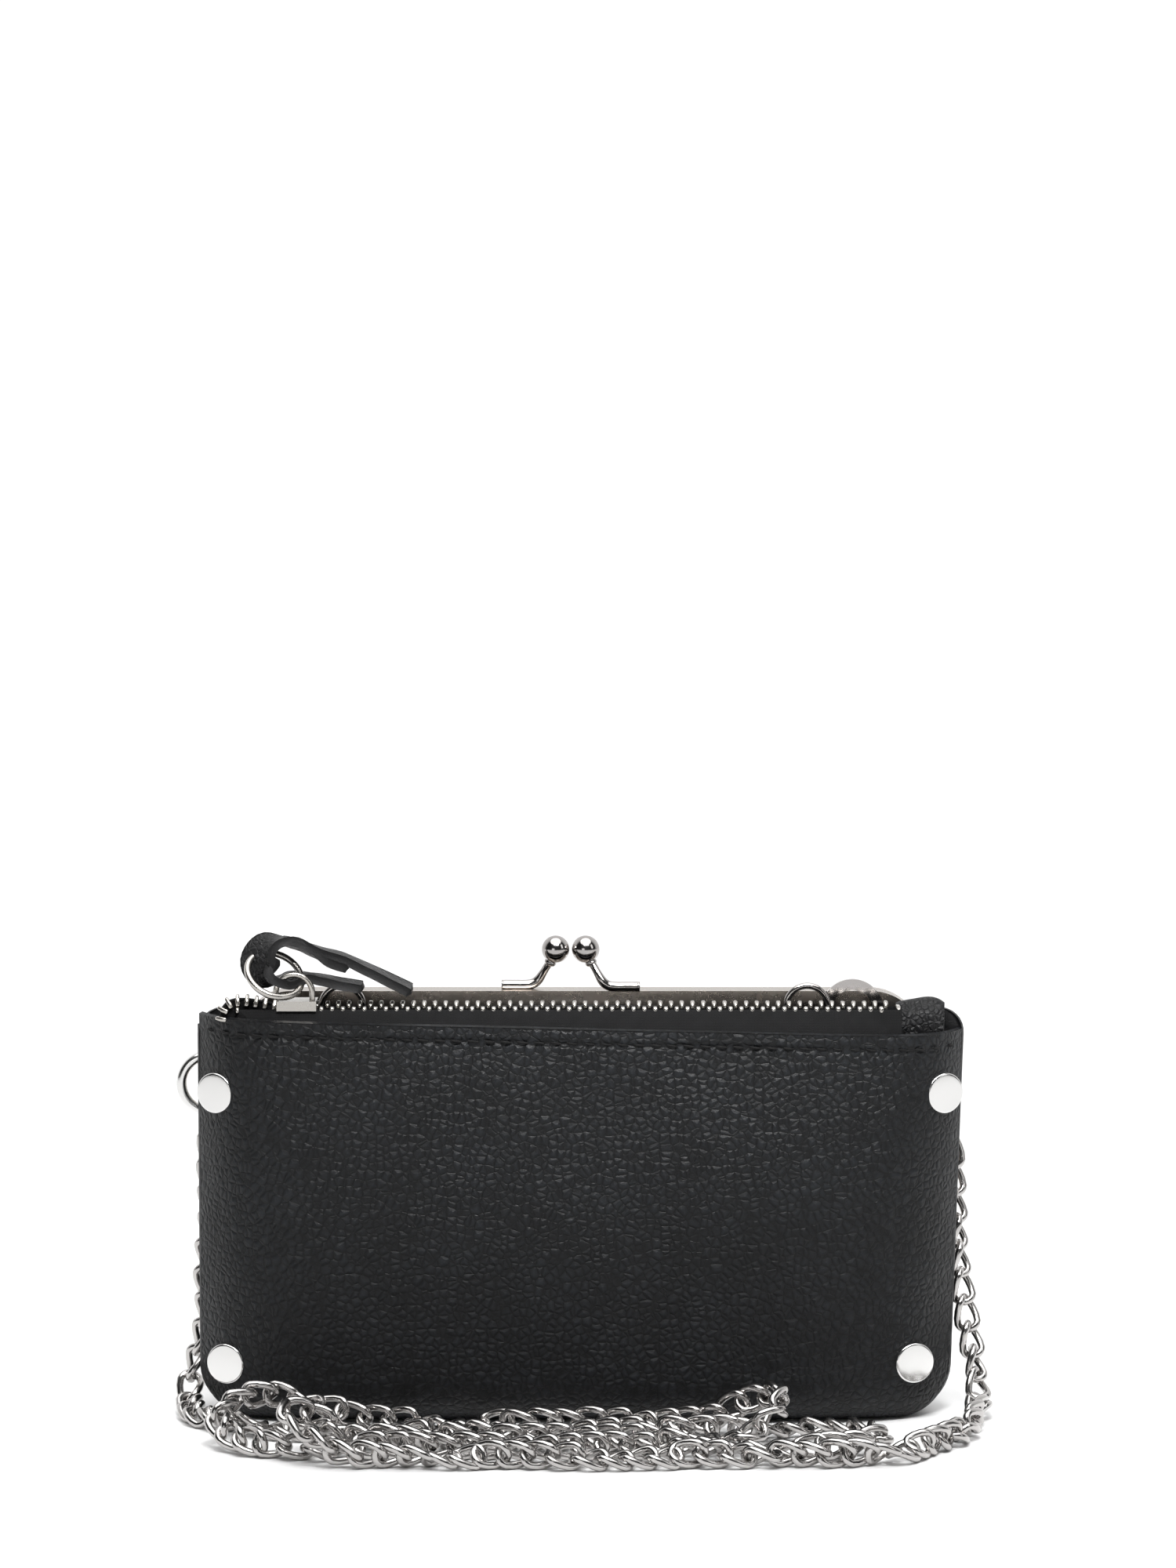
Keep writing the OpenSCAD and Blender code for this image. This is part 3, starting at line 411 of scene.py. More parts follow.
def turned(profile, centre, axis, steps=48):
    """A lathe shape. profile holds (radius, height) pairs from the foot to the tip."""
    axis = axis.normalized()
    side = axis.orthogonal().normalized()
    up = axis.cross(side)
    points, faces = [], []
    for r, h in profile:
        for k in range(steps):
            a = 2 * math.pi * k / steps
            spoke = math.cos(a) * side + math.sin(a) * up
            points.append(centre + axis * h + max(r, 0.001) * spoke)
    for i in range(len(profile) - 1):
        for k in range(steps):
            a, b = i * steps + k, i * steps + (k + 1) % steps
            faces.append([a, b, b + steps, a + steps])
    faces.append(list(range(steps))[::-1])
    faces.append([(len(profile) - 1) * steps + k for k in range(steps)])
    return points, faces


def spline(points, per_span):
    """A smooth line through points."""
    line = []
    last = len(points) - 1
    for k in range(last):
        a, b = points[max(k - 1, 0)], points[k]
        c, d = points[k + 1], points[min(k + 2, last)]
        for s in range(per_span):
            t = s / per_span
            line.append(0.5 * (2 * b + (c - a) * t + (2 * a - 5 * b + 4 * c - d) * t * t
                               + (3 * b - a - 3 * c + d) * t ** 3))
    line.append(points[last].copy())
    return line


def stitches(places, length=2.5, radius=0.32):
    """A row of threads: places are (point, direction, outward) in millimetres."""
    parts = []
    for point, along, out in places:
        across = along.cross(out).normalized()
        lean = (along + 0.12 * across).normalized()
        path = []
        for k in range(7):
            t = k / 6 - 0.5
            rise = 0.28 * math.cos(math.pi * t) - 0.12
            path.append(point + lean * length * t + out * rise)
        taper = [radius * (0.55 + 0.45 * math.cos(math.pi * (k / 6 - 0.5))) for k in range(7)]
        parts.append(sweep(path, taper, 6, side_hint=out))
    return join(parts)


# ---- camera, light and floor -------------------------------------------------------------------
def add_camera():
    """A long lens a metre in front of the wallet, tilted slightly down."""
    camera = bpy.data.objects.new("camera", bpy.data.cameras.new("camera"))
    camera.location = (0.00167, -1.0, 0.230)
    camera.rotation_euler = (math.radians(90 - 4.5), 0, 0)
    camera.data.sensor_fit = "VERTICAL"
    camera.data.sensor_height = 36
    camera.data.lens = 97
    bpy.context.collection.objects.link(camera)
    bpy.context.scene.camera = camera


def add_light(name, place, target, size, power, spread=180):
    """A rectangular lamp in metres and watts. spread is how wide its beam fans, in degrees."""
    lamp = bpy.data.lights.new(name, "AREA")
    lamp.spread = math.radians(spread)
    lamp.shape = "RECTANGLE"
    lamp.size, lamp.size_y = size
    lamp.energy = power
    light = bpy.data.objects.new(name, lamp)
    light.location = place
    light.rotation_euler = (Vector(target) - Vector(place)).to_track_quat("-Z", "Y").to_euler()
    bpy.context.collection.objects.link(light)


def add_studio():
    """A white room, dark on the camera's side, with small lights and a wide one overhead."""
    world = bpy.data.worlds.new("studio")
    world.use_nodes = True
    tree = world.node_tree
    background = tree.nodes["Background"]
    coords = tree.nodes.new("ShaderNodeTexCoord")
    axes = tree.nodes.new("ShaderNodeSeparateXYZ")
    ramp = tree.nodes.new("ShaderNodeValToRGB")
    tones = [(0.0, 0.05), (0.30, 0.012), (0.48, 0.03), (0.60, 0.75), (0.8, 1.0)]
    while len(ramp.color_ramp.elements) < len(tones):
        ramp.color_ramp.elements.new(0.5)
    for element, (position, tone) in zip(ramp.color_ramp.elements, tones):
        element.position = position
        element.color = (tone, tone, tone, 1)
    scale = tree.nodes.new("ShaderNodeMapRange")
    scale.inputs["From Min"].default_value = -1
    tree.links.new(coords.outputs["Generated"], axes.inputs["Vector"])
    tree.links.new(axes.outputs["Y"], scale.inputs["Value"])
    tree.links.new(scale.outputs["Result"], ramp.inputs["Fac"])
    tree.links.new(ramp.outputs["Color"], background.inputs["Color"])
    background.inputs["Strength"].default_value = 1.08
    bpy.context.scene.world = world
    bpy.context.scene.view_settings.view_transform = "Standard"
    add_light("key", (0.03, -0.24, 0.38), (0.02, 0.11, 0.02), (0.22, 0.07), 0.24, 50)
    add_light("front_panel", (-0.45, -1.25, 0.25), (0, 0, 0.05), (0.5, 0.3), 0.75)
    add_light("fill", (0.75, -0.45, 0.5), (0, 0, 0.05), (0.25, 0.5), 0.7)
    sun = bpy.data.lights.new("overhead", "SUN")
    sun.energy = 2.6
    sun.angle = math.radians(70)
    overhead = bpy.data.objects.new("overhead", sun)
    overhead.rotation_euler = (math.radians(12), 0, 0)
    bpy.context.collection.objects.link(overhead)
    mesh = bpy.data.meshes.new("floor")
    reach, front, back = 8.0, -4.0, 12.0
    mesh.from_pydata([(-reach, front, 0), (reach, front, 0), (reach, back, 0), (-reach, back, 0)],
                     [], [(0, 1, 2, 3)])
    m = Nodes("floor_paper")
    tone = m.ramp(m.noise(40, 3), [(0.3, 0.88), (0.7, 0.92)])
    mesh.materials.append(m.finish(tone, 0.9, m.bump(m.noise(900, 3), 0.00002, 0.2)))
    floor = bpy.data.objects.new("floor", mesh)
    bpy.context.collection.objects.link(floor)


# ---- chain -------------------------------------------------------------------------------------
chain_d = 6.6
link_w = 7.0
link_wire_d = 1.8
link_l = 9.8
link_twist = math.radians(42)
lying_pitch = 5.6
hanging_pitch = 6.6
first_link = 2.6
last_link_room = 2.0
# Heights of the chain's middle where it lies on the floor and where it crosses another pass
FLOOR = chain_d / 2
OVER = FLOOR + chain_d + 0.2
CHAIN_ROUTE = [
    (-89, 4.3, 66), (-90, 4.6, 45), (-91, 5, 22), (-94, 1, 6), (-90, -15, FLOOR),
    # first pass, to the right
    (-74, -27, FLOOR), (-50, -32, FLOOR), (-15, -33, FLOOR), (30, -32, FLOOR),
    (57, -29, FLOOR), (69, -39, FLOOR), (57, -49, FLOOR),
    # second pass, back to the left
    (30, -48, FLOOR), (-10, -49, FLOOR), (-48, -48, FLOOR),
    (-72, -47, FLOOR), (-84, -36, 7), (-74, -25, OVER),
    # third pass, close to the pouch
    (-50, -23, 5), (-18, -24, FLOOR), (22, -23, FLOOR),
    (42, -27, OVER), (46, -35, OVER), (36, -41, 5),
    # fourth pass
    (10, -40, FLOOR), (-20, -41, FLOOR), (-48, -40, FLOOR),
    (-64, -44, OVER), (-66, -52, OVER), (-54, -57, 5),
    # fifth pass, along the front, then round to the right ring
    (-30, -57, FLOOR), (0, -58, FLOOR), (32, -56, FLOOR), (66, -55, FLOOR),
    (84, -40, FLOOR), (93, -18, FLOOR), (95, -1, 8), (92, 4.6, 28),
    (90, 4.8, 50), (88.5, 4.3, 67.2),
]


def chain_line():
    line = spline([Vector(p) for p in CHAIN_ROUTE], 24)
    for p in line:
        p.z = max(FLOOR, p.z)
    return line


def lengths_along(line):
    total = [0.0]
    for a, b in zip(line, line[1:]):
        total.append(total[-1] + (b - a).length)
    return total


def point_at(line, total, s):
    """The point a distance s along the line."""
    s = min(max(s, 0.0), total[-1])
    low, high = 0, len(total) - 1
    while high - low > 1:
        middle = (low + high) // 2
        if total[middle] <= s:
            low = middle
        else:
            high = middle
    return line[low].lerp(line[high], (s - total[low]) / max(total[high] - total[low], 1e-9))


def link_loop(steps=26):
    """The centreline of one curb link: an oval that is twisted along its length."""
    end_r = (link_w - link_wire_d) / 2
    straight = (link_l - link_w) / 2
    loop = []
    for k in range(steps):
        a = 2 * math.pi * k / steps
        shift = straight * min(1.0, 3 * abs(math.cos(a)))
        x = end_r * math.cos(a) + math.copysign(shift, math.cos(a))
        y = end_r * math.sin(a)
        twist = link_twist * x / (end_r + straight)
        loop.append(Vector((x, y * math.cos(twist), y * math.sin(twist))))
    return loop


def add_chain():
    """The whole chain as one mesh: links that roll about its line and rest on the floor."""
    line = chain_line()
    total = lengths_along(line)
    link_points, link_faces = sweep(link_loop(), link_wire_d / 2, 9, closed=True,
                                    side_hint=Vector((0, 0, 1)))
    parts = []
    s = first_link
    side = Vector((1, 0, 0))
    while s < total[-1] - last_link_room:
        centre = point_at(line, total, s)
        hangs = smooth(9, 20, centre.z)
        pitch = lerp(lying_pitch, hanging_pitch, hangs)
        before, after = point_at(line, total, s - pitch / 2), point_at(line, total, s + pitch / 2)
        heading = (after - before).normalized()
        side = (side - side.dot(heading) * heading).normalized()
        up = heading.cross(side)
        wander = (1.9 * noise(Vector((s * 0.045, 3.1, 0.4)))
                  + 0.5 * noise(Vector((s * 0.3, 9.7, 2.0))))
        roll = lerp(wander * 1.5, 0.5 + 0.7 * wander, hangs)
        y_axis = math.cos(roll) * side + math.sin(roll) * up
        z_axis = heading.cross(y_axis)
        placed = [centre + p.x * heading + p.y * y_axis + p.z * z_axis for p in link_points]
        # A link close to the floor drops on to it, or is lifted out of it
        lowest = min(p.z for p in placed)
        drop = max(-1.6, lowest - 0.05) * (1 - smooth(FLOOR + 0.5, FLOOR + 4, centre.z))
        parts.append(([p - Vector((0, 0, drop)) for p in placed], link_faces))
        s += pitch
    points, faces = join(parts)
    chain = add_piece("chain", points, faces, chain_silver, "pouch", ["chain_strap"])


# ---- zip pouch ---------------------------------------------------------------------------------
def wall_depth(z):
    """Depth of the pouch in front of the middle panel at a height."""
    return top_depth + bulge * math.sin(math.pi * min(1.0, max(z, 0.0) / hem_h))


def front_point(u, depth, height):
    """A point of the pouch front: u runs from -1 to 1 across it."""
    lift = corner_in(abs(u) * half_w - (half_w - lower_corner_r), lower_corner_r)
    z = lift + height * (1 - lift / hem_h)
    x = u * (half_w - (right_draw_in * (1 - z / hem_h) if u > 0 else 0))
    fade = 1 - abs(u) ** (side_power + hem_power * (z / hem_h) ** 2)
    return Vector((x, panel_front_y - depth * fade - seam_gap, z))


def front_wave(x, z):
    """Soft unevenness of the filled pouch, in millimetres."""
    slow = noise(Vector((x * 0.021, 0.3, z * 0.026)))
    pulls = 0.35 * noise(Vector((x * 0.06, 5.0, z * 0.018)))
    return 0.9 * slow + pulls


stitch_pitch = 3.9
hem_stitch_drop = 3.3
hem_rows_h = 6.0
# Stands for "nowhere near the hem" where a row has no use for its distance
far_below = 99.0


def hem_top(u):
    """Height of the front hem, which falls from left to right."""
    return hem_h - hem_slope * u * half_w


def hem_relief(below_hem, along):
    """The folded hem stands proud, and its stitch row lies in a groove."""
    fold = 0.45 * (1 - smooth(hem_stitch_drop - 0.4, hem_stitch_drop + 0.9, below_hem))
    groove = math.exp(-((below_hem - hem_stitch_drop) / 0.7) ** 2)
    hole = 0.5 + 0.5 * math.cos(2 * math.pi * along / stitch_pitch)
    return fold - groove * (0.28 + 0.22 * hole)


def front_rows(u):
    """(depth, height, distance below the hem) from the hem down to the base seam."""
    top = hem_top(u)
    fine, coarse, turn, base = 22, 60, 18, 6
    rows = [top - hem_rows_h * k / fine for k in range(fine + 1)]
    rows += [lerp(top - hem_rows_h, base_turn_h, k / coarse) for k in range(1, coarse + 1)]
    profile = [(wall_depth(z), z, top - z) for z in rows]
    deep = wall_depth(base_turn_h)
    for k in range(1, turn + 1):
        a = math.pi / 2 * k / turn
        profile.append((base_flat + (deep - base_flat) * math.cos(a),
                        base_rise + (base_turn_h - base_rise) * (1 - math.sin(a)), far_below))
    for k in range(1, base + 1):
        profile.append((base_flat * (1 - k / base), base_rise * (1 - k / base), far_below))
    return profile


def front_samples():
    """Places across the front from -1 to 1, closer together towards its sides."""
    count = 190
    samples = []
    for k in range(-count, count + 1):
        t = k / count
        samples.append(math.copysign(1 - (1 - abs(t)) ** 1.25, t))
    return samples


def add_pouch_front():
    columns = []
    for u in front_samples():
        column = []
        x = u * half_w
        inside = 1 - smooth(0.90, 1.0, abs(u))
        for depth, height, below in front_rows(u):
            wave = front_wave(x, height) * inside * smooth(0, 14, height) * smooth(0, 20, below)
            near_top = inside * 0.25 * math.sin(x * 0.11 + 1.0) * (1 - smooth(0, 16, below))
            relief = hem_relief(below, x) if below < far_below / 2 else 0.0
            column.append(front_point(u, depth + wave + near_top + relief, height))
        columns.append(column)
    grid = [list(row) for row in zip(*columns)]
    points, faces = thick_sheet(grid, leather_t)[:2]
    add_piece("pouch_front", points, faces, black, "pouch", ["pouch_front_panel"])


def surface_frame(u, below):
    """Point, direction along the hem and outward direction on the pouch front."""
    def at(v, drop):
        z = hem_top(v) - drop
        return front_point(v, wall_depth(z) + hem_relief(drop, v * half_w), z)
    step = 0.004
    point = at(u, below)
    along = (at(min(u + step, 0.999), below) - at(max(u - step, -0.999), below)).normalized()
    down = (at(u, below + 0.5) - at(u, below)).normalized()
    return point, along, along.cross(down).normalized()


def add_hem_stitches():
    reach = 0.965
    count = int(2 * half_w * reach / stitch_pitch)
    places = []
    for k in range(-count // 2, count // 2 + 1):
        u = (k + 0.5) * stitch_pitch / half_w
        if abs(u) > reach:
            continue
        point, along, out = surface_frame(u, hem_stitch_drop)
        if out.y > 0:
            out = -out
        places.append((point + out * 0.12, along, out))
    points, faces = stitches(places)
    add_piece("hem_stitches", points, faces, thread, "pouch")


def add_middle_panel():
    """The leather between the two halves, with its upper corners rounded a little."""
    rows, columns = 60, 170
    corner = 6.0
    top_rows = 8
    grid = []
    for i in range(rows + 1):
        z = middle_h * (1 - i / rows)
        if i < top_rows:
            z = middle_h - 8.0 * (i / top_rows) ** 1.6
        reach = (half_w - corner_in(z - (middle_h - corner), corner)
                 - corner_in(lower_corner_r - z, lower_corner_r))
        row = []
        for j in range(columns + 1):
            u = 2 * j / columns - 1
            x = u * reach
            if x > 0:
                x *= 1 - right_draw_in / half_w * (1 - z / middle_h)
            high = smooth(middle_h - 26, middle_h, z)
            end = smooth(0.9, 1.0, abs(u))
            y = panel_front_y + high * (0.25 * noise(Vector((x * 0.05, 1.0, 0.0))) - 0.5 * end)
            row.append(Vector((x, y, z)))
        grid.append(row)
    points, faces = thick_sheet(grid, leather_t)[:2]
    add_piece("middle_leather", points, faces, trim_black, "pouch",
              ["middle_panel"])


# ---- zip teeth ---------------------------------------------------------------------------------
tooth_half_w = 0.55
teeth_in_row = 60
open_tooth_pitch = 2.2
# (place along the tooth, share of its width, share of its height) from the leg to the head
TOOTH = [(-1.45, 0.35, 0.45), (-1.35, 0.85, 0.9), (-1.1, 1.0, 1.0), (0.1, 1.0, 1.0),
         (0.45, 0.85, 0.8), (1.1, 0.75, 0.62), (1.4, 0.45, 0.4)]


def tooth_at(centre, along, up, half_h):
    """One rounded tooth: along points from its leg to its head."""
    across = along.cross(up).normalized()
    points, faces = [], []
    sides = 12
    for place, wide, high in TOOTH:
        for k in range(sides):
            a = 2 * math.pi * (k + 0.5) / sides
            c, d = math.cos(a), math.sin(a)
            x = math.copysign(abs(c) ** 0.45, c) * tooth_half_w * wide
            z = math.copysign(abs(d) ** 0.45, d) * half_h * high
            points.append(centre + along * place + across * x + up * z)
    for i in range(len(TOOTH) - 1):
        for k in range(sides):
            a, b = i * sides + k, i * sides + (k + 1) % sides
            faces.append([a, b, b + sides, a + sides])
    faces.append(list(range(sides))[::-1])
    faces.append([(len(TOOTH) - 1) * sides + k for k in range(sides)])
    return points, faces


# The front row's open end, which curls down left of the slider
OPEN_ROW = [(-72.0, -8.9, 99.6), (-75.5, -9.1, 100.3), (-79.5, -9.7, 100.9),
            (-82.6, -10.2, 100.6), (-84.4, -10.7, 98.9), (-84.9, -11.0, 96.6)]


def out_of(heading):
    """The direction square to a row's heading that points away from the wallet."""
    return Vector((0, 1, 0)).cross(heading).normalized()


def open_teeth():
    """The front row's teeth along its open end."""
    line = spline([Vector(p) for p in OPEN_ROW], 12)
    total = lengths_along(line)
    parts = []
    s = 0.4
    while s < total[-1]:
        before, after = point_at(line, total, s - 0.5), point_at(line, total, s + 0.5)
        lean = out_of((after - before).normalized()) + Vector((0, 0.25, 0))
        parts.append(tooth_at(point_at(line, total, s), lean.normalized(),
                              Vector((0, -1, 0)), 0.95))
        s += open_tooth_pitch
    return parts


def add_teeth():
    """Both rows of teeth, from the slider to the closed end, with the open end of one."""
    up = Vector((0, 0, 1))
    for node, towards, lift in (("zip_teeth_front", 1, -0.35), ("zip_teeth_back", -1, 0.5)):
        low, high = mm_box(node)
        pitch = (high.x - low.x - 1.3) / (teeth_in_row - 1)
        parts = []
        for k in range(teeth_in_row):
            x = low.x + 0.65 + k * pitch
            if x < slider_low.x:
                continue
            centre = Vector((x, (low.y + high.y) / 2, (low.z + high.z) / 2 + lift))
            lean = Vector((random.uniform(-0.03, 0.03), towards, random.uniform(-0.03, 0.03)))
            parts.append(tooth_at(centre, lean.normalized(), up, 1.25))
        if node == "zip_teeth_front":
            parts += open_teeth()
        points, faces = join(parts)
        add_piece(node.replace("zip_", ""), points, faces, zip_silver, "pouch", [node])


def add_open_tape():
    """The tape that the open end's teeth sit on."""
    line = spline([Vector(p) for p in OPEN_ROW], 6)
    grid = []
    for k, p in enumerate(line):
        out = out_of((line[min(k + 1, len(line) - 1)] - line[max(k - 1, 0)]).normalized())
        grid.append([p + out * lerp(0.2, -3.4, j / 5) + Vector((0, 0.25 * j, 0))
                     for j in range(6)])
    points, faces = thick_sheet(grid, 0.7)[:2]
    add_piece("open_tape", points, faces, tape_cloth, "pouch")


def add_end_stops():
    low, high = mm_box("zip_stops")
    middle_z = (low.z + high.z) / 2
    set_in = 0.9
    parts = []
    for side in (-1, 1):
        for x, apart in ((high.x - set_in, 1.5), (low.x + set_in, 1.9)):
            parts.append(tooth_at(Vector((x, zip_y + side * apart, middle_z)),
                                  Vector((0, side, 0)), Vector((0, 0, 1)), 1.0))
    points, faces = join(parts)
    add_piece("end_stops", points, faces, zip_silver, "pouch", ["zip_stops"])


def add_end_tab():
    """A leather tab folded over the zip's closed end, from the front to the middle panel."""
    low, high = mm_box("zip_end_tab")
    tab_t = 1.1
    columns = 24
    fold = [(low.y - 0.3, low.z + 1.0), (low.y - 0.1, high.z - 4.2), (low.y + 1.6, high.z - 1.0),
            ((low.y + high.y) / 2, high.z), (high.y - 1.4, high.z - 0.6),
            (high.y - 0.3, high.z - 3.6), (high.y - 0.2, low.z + 3.0)]
    grid = []
    for p in spline([Vector((0, y, z)) for y, z in fold], 7):
        row = []
        for j in range(columns + 1):
            t = j / columns
            curl = 0.9 * (2 * t - 1) ** 4 * smooth(low.z, high.z, p.z)
            sag = curl + 0.35 * math.sin(5.5 * t + 0.6)
            row.append(Vector((lerp(low.x - 2.4, high.x, t), p.y, p.z - sag)))
        grid.append(row)
    points, faces = thick_sheet(grid, tab_t)[:2]
    add_piece("end_tab", points, faces, strap_black, "pouch", ["zip_end_tab"])


# ---- purse -------------------------------------------------------------------------------------
neck_z = (26, 43)
frame_z = (52.5, 55)


def purse_reach(z):
    """Half the purse's width at a height: full below, inside the frame's legs above."""
    low = purse_half_w - corner_in(8 - z, 8)
    inside = opening_half_w + groove_reach - corner_in(z - (opening_h - 7), 9.5)
    neck = opening_half_w - 1.2
    below = lerp(low, neck, smooth(*neck_z, z))
    return lerp(below, inside, smooth(*frame_z, z)) if z > hinge_z else below


def seam_y(z):
    """Where the purse's front and back leathers meet at the sides."""
    low = panel_back_y + leather_t + 0.4
    return lerp(low, front_groove_y + 1.2, smooth(3, 46, z))


def purse_back_point(u, depth, z):
    """A point of the purse's back, which curves forward to its seam at the sides."""
    reach = purse_reach(z)
    x = u * reach
    high = smooth(46, 54, z)
    edge = lerp(seam_y(z), back_groove_y, high)
    turn = 12
    corner = min(1.0, max(0.0, (abs(x) - (reach - turn)) / turn))
    low_share = math.sqrt(max(0.0, 1 - corner * corner))
    into = min(1.0, abs(x) / (opening_half_w - 0.3))
    high_share = 1 - into ** 7
    share = lerp(low_share, high_share, high)
    return Vector((x, edge + max(0.0, depth - edge) * share, z))


def purse_back_rows():
    """(depth, height) from the seam at the base up to the frame's groove."""
    rows = []
    flat = 9.0
    turn = 11.0
    rise = 0.35
    for k in range(6):
        rows.append((lerp(panel_back_y + leather_t, flat, k / 5), rise * k / 5))
    for k in range(1, 13):
        a = math.pi / 2 * k / 12
        rows.append((lerp(flat, purse_wall_y, math.sin(a)),
                     rise + (turn - rise) * (1 - math.cos(a))))
    top = opening_h + groove_reach
    for k in range(1, 71):
        z = lerp(turn, top, k / 70)
        above = max(0.0, z - hinge_z) / (opening_h - 0.4 - hinge_z)
        rows.append((lerp(purse_wall_y, back_groove_y, min(1.0, above) ** 1.7), z))
    return rows


def purse_grid(inset):
    """The purse's back, gently uneven, at a distance inside its outer face."""
    half = 80
    columns = []
    for j in range(-half, half + 1):
        u = math.copysign(1 - (1 - abs(j / half)) ** 1.2, j)
        column = []
        for depth, z in purse_back_rows():
            p = purse_back_point(u, depth, z)
            free = (1 - smooth(0.85, 1.0, abs(u))) * smooth(4, 16, z) * (1 - smooth(80, 93, z))
            p.y += free * 0.8 * noise(Vector((p.x * 0.025, 8.0, z * 0.03)))
            p.y -= inset * (1 if z > 6 else 0)
            p.x *= 1 - inset / purse_half_w
            p.z += inset * (1 - smooth(0, 12, z)) - inset * smooth(60, 95, z)
            column.append(p)
        columns.append(column)
    return [list(row) for row in zip(*columns)]


def add_purse():
    """The purse's back and its lining, which bend where the frame opens."""
    points, faces = thick_sheet(purse_grid(0), leather_t)[:2]
    back = add_piece("purse_back", points, faces, black, None,
                     ["purse_back_panel", "flap_panel"])
    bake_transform(back)
    lining_gap, lining_t = 0.25, 0.5
    points, faces = thick_sheet(purse_grid(leather_t + lining_gap), lining_t)[:2]
    lining = add_piece("purse_cloth", points, faces, lining_cloth, None,
                       ["purse_lining", "flap_lining"])
    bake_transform(lining)


def add_purse_front():
    """The purse's front, which leans from the middle panel to the frame's front groove."""
    rows, columns = 70, 120
    grid = []
    for i in range(rows + 1):
        z = lerp(opening_h + groove_reach, 0, i / rows)
        y = lerp(panel_back_y + 0.1, front_groove_y - leather_t / 2, smooth(3, 46, z))
        reach = purse_reach(z)
        grid.append([Vector(((2 * j / columns - 1) * reach, y, z)) for j in range(columns + 1)])
    points, faces = thick_sheet(grid, leather_t)[:2]
    add_piece("purse_front", points, faces, trim_black, "pouch", ["purse_front_panel"])


# ---- rivets, clasp and strap -------------------------------------------------------------------
def node_points(node):
    return [v.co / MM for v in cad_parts[node].data.vertices]


def disc_axis(points):
    """The centre of a round piece and its axis, turned towards the wallet's front."""
    cloud = np.array([tuple(p) for p in points])
    middle = cloud.mean(axis=0)
    spread, axes = np.linalg.eigh(np.cov((cloud - middle).T))
    pick = 0 if spread[1] - spread[0] > spread[2] - spread[1] else 2
    axis = Vector(axes[:, pick])
    return Vector(middle), axis if axis.y < 0 else -axis


def cap_profile(cap_r):
    """A rivet cap's section: a short wall, a rounded rim and a nearly flat top."""
    wall_h, rim = -0.55, 0.5
    profile = [(cap_r - 0.35, -2.6), (cap_r - 0.1, -1.9), (cap_r, -1.6), (cap_r, wall_h)]
    for k in range(1, 7):
        a = math.pi / 2 * k / 6
        profile.append((cap_r - rim * (1 - math.cos(a)), wall_h + 0.45 * math.sin(a)))
    return profile + [(cap_r - 1.0, -0.06), (cap_r - 2.2, -0.01), (1.2, 0.03), (0.0, 0.04)]


def add_rivets():
    parts = []
    profile = cap_profile(4.8)
    for side in (-1, 1):
        for high in (False, True):
            cloud = [p for p in node_points("rivet_caps")
                     if p.x * side > 0 and (p.z > middle_h / 2) == high]
            middle, axis = disc_axis(cloud)
            top = max((p - middle).dot(axis) for p in cloud)
            rim = [p for p in cloud if (p - middle).dot(axis) > top - 0.2]
            parts.append(turned(profile, sum(rim, Vector()) / len(rim), axis))
    points, faces = join(parts)
    add_piece("rivets", points, faces, bright_silver, "pouch", ["rivet_caps"])


# Half of the clasp in X and Z from the middle: its rod, its bend and its stem up to the ball
CLASP_ROUTE = [(16.6, 102.0), (13.5, 102.0), (10.8, 102.0), (9.0, 102.3), (7.7, 103.3),
               (6.6, 105.0), (5.6, 106.7), (4.6, 108.2), (4.0, 109.6)]
clasp_x = -2.5
ball_r = 3.35
half_ball_spacing = 3.6


def add_clasp_half(name, node, body, side):
    """One clasp ball on its rod. side is 1 for the front half, whose rod points right."""
    rod_y = front_groove_y if side > 0 else back_groove_y
    hinge_y = (front_groove_y + back_groove_y) / 2
    ball = Vector((clasp_x + side * half_ball_spacing, hinge_y, mm_box(node)[1].z - ball_r))
    path = [Vector((clasp_x + side * x, lerp(rod_y, hinge_y, smooth(103, 109, z)), z))
            for x, z in CLASP_ROUTE]
    line = spline(path, 6)
    radii = [lerp(1.2, 0.95, smooth(102.2, 106, p.z)) for p in line]
    rod = sweep(line, radii, 20)
    cap = turned([(0.9, -0.02), (1.12, 0.0), (1.2, 0.12), (1.2, 0.6)], line[0],
                 line[1] - line[0], 24)
    ball_profile = [(0.9, -ball_r - 0.9), (1.35, -ball_r - 0.5), (1.5, -ball_r + 0.1)]
    for k in range(4, 33):
        a = math.pi * k / 32
        ball_profile.append((ball_r * math.sin(a), -ball_r * math.cos(a)))
    # The ball stands along the upper end of its stem
    lean = (ball - line[-8]).normalized()
    points, faces = join([rod, cap, turned(ball_profile, ball, lean)])
    add_piece(name, points, faces, clasp_silver, body, [node])


def ribbon(route, yaws, width, thickness, across=10, per_span=6):
    """A leather strip along route, its width turned about the vertical by yaws in degrees."""
    line = spline([Vector(p) for p in route], per_span)
    grid = []
    for k, p in enumerate(line):
        t = k / per_span
        low = min(int(t), len(yaws) - 2)
        yaw = math.radians(lerp(yaws[low], yaws[low + 1], smooth(0, 1, t - low)))
        side = Vector((-math.sin(yaw), math.cos(yaw), 0))
        heading = (line[min(k + 1, len(line) - 1)] - line[max(k - 1, 0)]).normalized()
        side = (side - side.dot(heading) * heading).normalized()
        up = heading.cross(side)
        row = []
        for j in range(across + 1):
            v = j / across - 0.5
            cup = 0.35 * math.sin(k * 0.21 + 1.3) * (4 * v * v)
            row.append(p + side * width * v + up * cup)
        grid.append(row)
    return thick_sheet(grid, thickness)


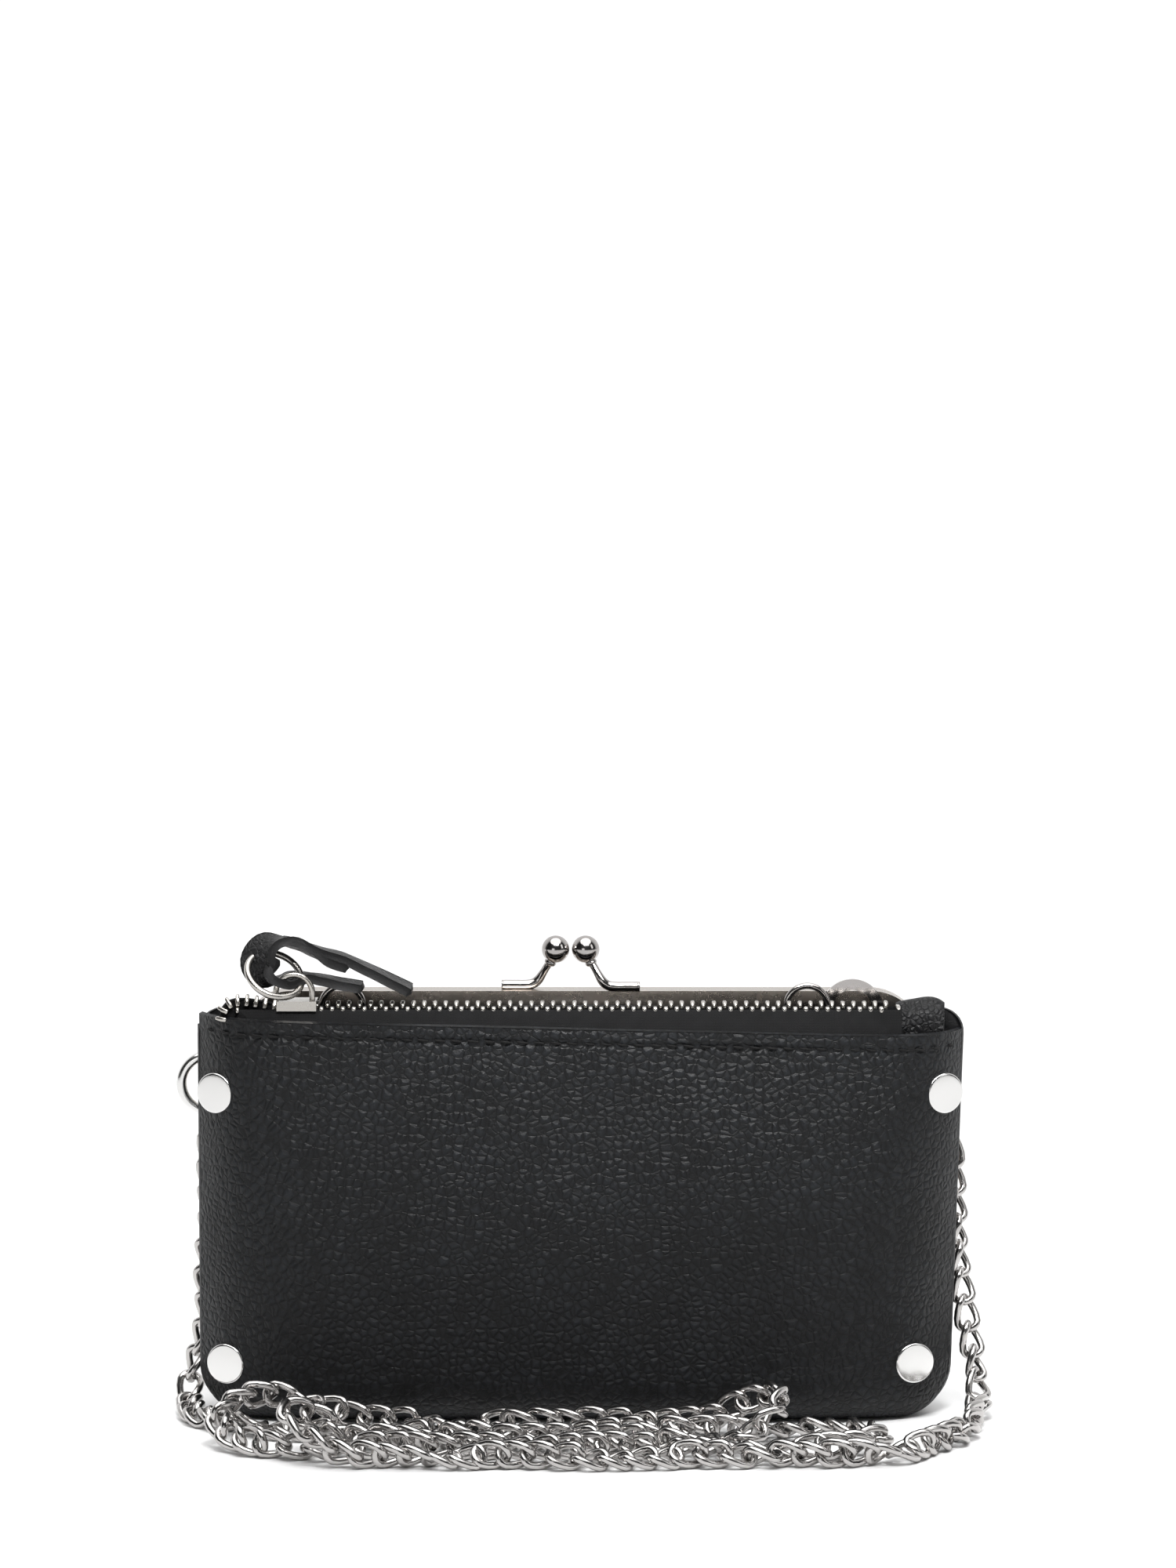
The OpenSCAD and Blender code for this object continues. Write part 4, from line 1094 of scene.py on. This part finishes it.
strap_w = 8.6
strap_t = 2.1
STRAP_TAIL = [(-70.0, -4.6, 115.2), (-66.5, -4.0, 114.4), (-61.5, -3.6, 112.8),
              (-56, -3.4, 111.3), (-50, -3.4, 108.2), (-44.5, -3.4, 105.2), (-40.2, -3.4, 103.2)]
TAIL_YAWS = [34, 26, 14, 5, 0, -4, -6]
STRAP_LOOP = [(-55.8, -3.4, 107.4), (-60.5, -3.6, 108.7), (-65.5, -4.2, 111.4),
              (-69.8, -5.2, 113.0), (-73.8, -6.0, 112.6), (-75.9, -6.4, 109.6),
              (-74.4, -6.0, 106.6), (-70.4, -5.4, 106.0), (-66, -4.4, 107.0),
              (-61.5, -3.7, 106.0), (-57, -3.4, 104.7), (-52, -3.4, 104.0)]
LOOP_YAWS = [2, 8, 28, 50, 60, 60, 60, 50, 28, 8, 2, 0]


def add_strap():
    """The puller's leather: a loop through the ring, with raw edges, and a loose tail."""
    for name, route, yaws, nodes in (("strap_tail", STRAP_TAIL, TAIL_YAWS, []),
                                     ("strap_loop", STRAP_LOOP, LOOP_YAWS, ["pull_strap"])):
        points, faces, rim = ribbon(route, yaws, strap_w, strap_t)
        add_piece(name, points, faces, strap_black, "puller", nodes, (rim, cut_edge))


# ---- finishes of the CAD parts that stay -------------------------------------------------------
FINISHES = {
    lining_cloth: ("pouch_lining",),
    tape_cloth: ("zip_tape_front", "zip_tape_back"),
    trim_black: ("side_tab_left", "side_tab_right", "ring_loops"),
    zip_silver: ("slider_body", "slider_bail", "puller_ring"),
    bright_silver: ("rivet_bases", "side_ring_left", "side_ring_right"),
    frame_gunmetal: ("frame_front", "frame_back", "hinge_pins"),
    clasp_silver: ("gap_ring_left", "gap_ring_right", "gap_ring_flat"),
    chain_silver: ("chain_end_left", "chain_end_right"),
}


def finish_cad_parts():
    for material, names in FINISHES.items():
        for name in names:
            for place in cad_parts[name].material_slots:
                place.material = material


add_camera()
add_chain()
add_studio()
add_pouch_front()
add_hem_stitches()
add_middle_panel()
add_purse_front()
add_purse()
add_teeth()
add_open_tape()
add_end_stops()
add_end_tab()
add_rivets()
add_clasp_half("clasp_near", "clasp_front", "pouch", 1)
add_clasp_half("clasp_far", "clasp_back", "flap", -1)
add_strap()
finish_cad_parts()
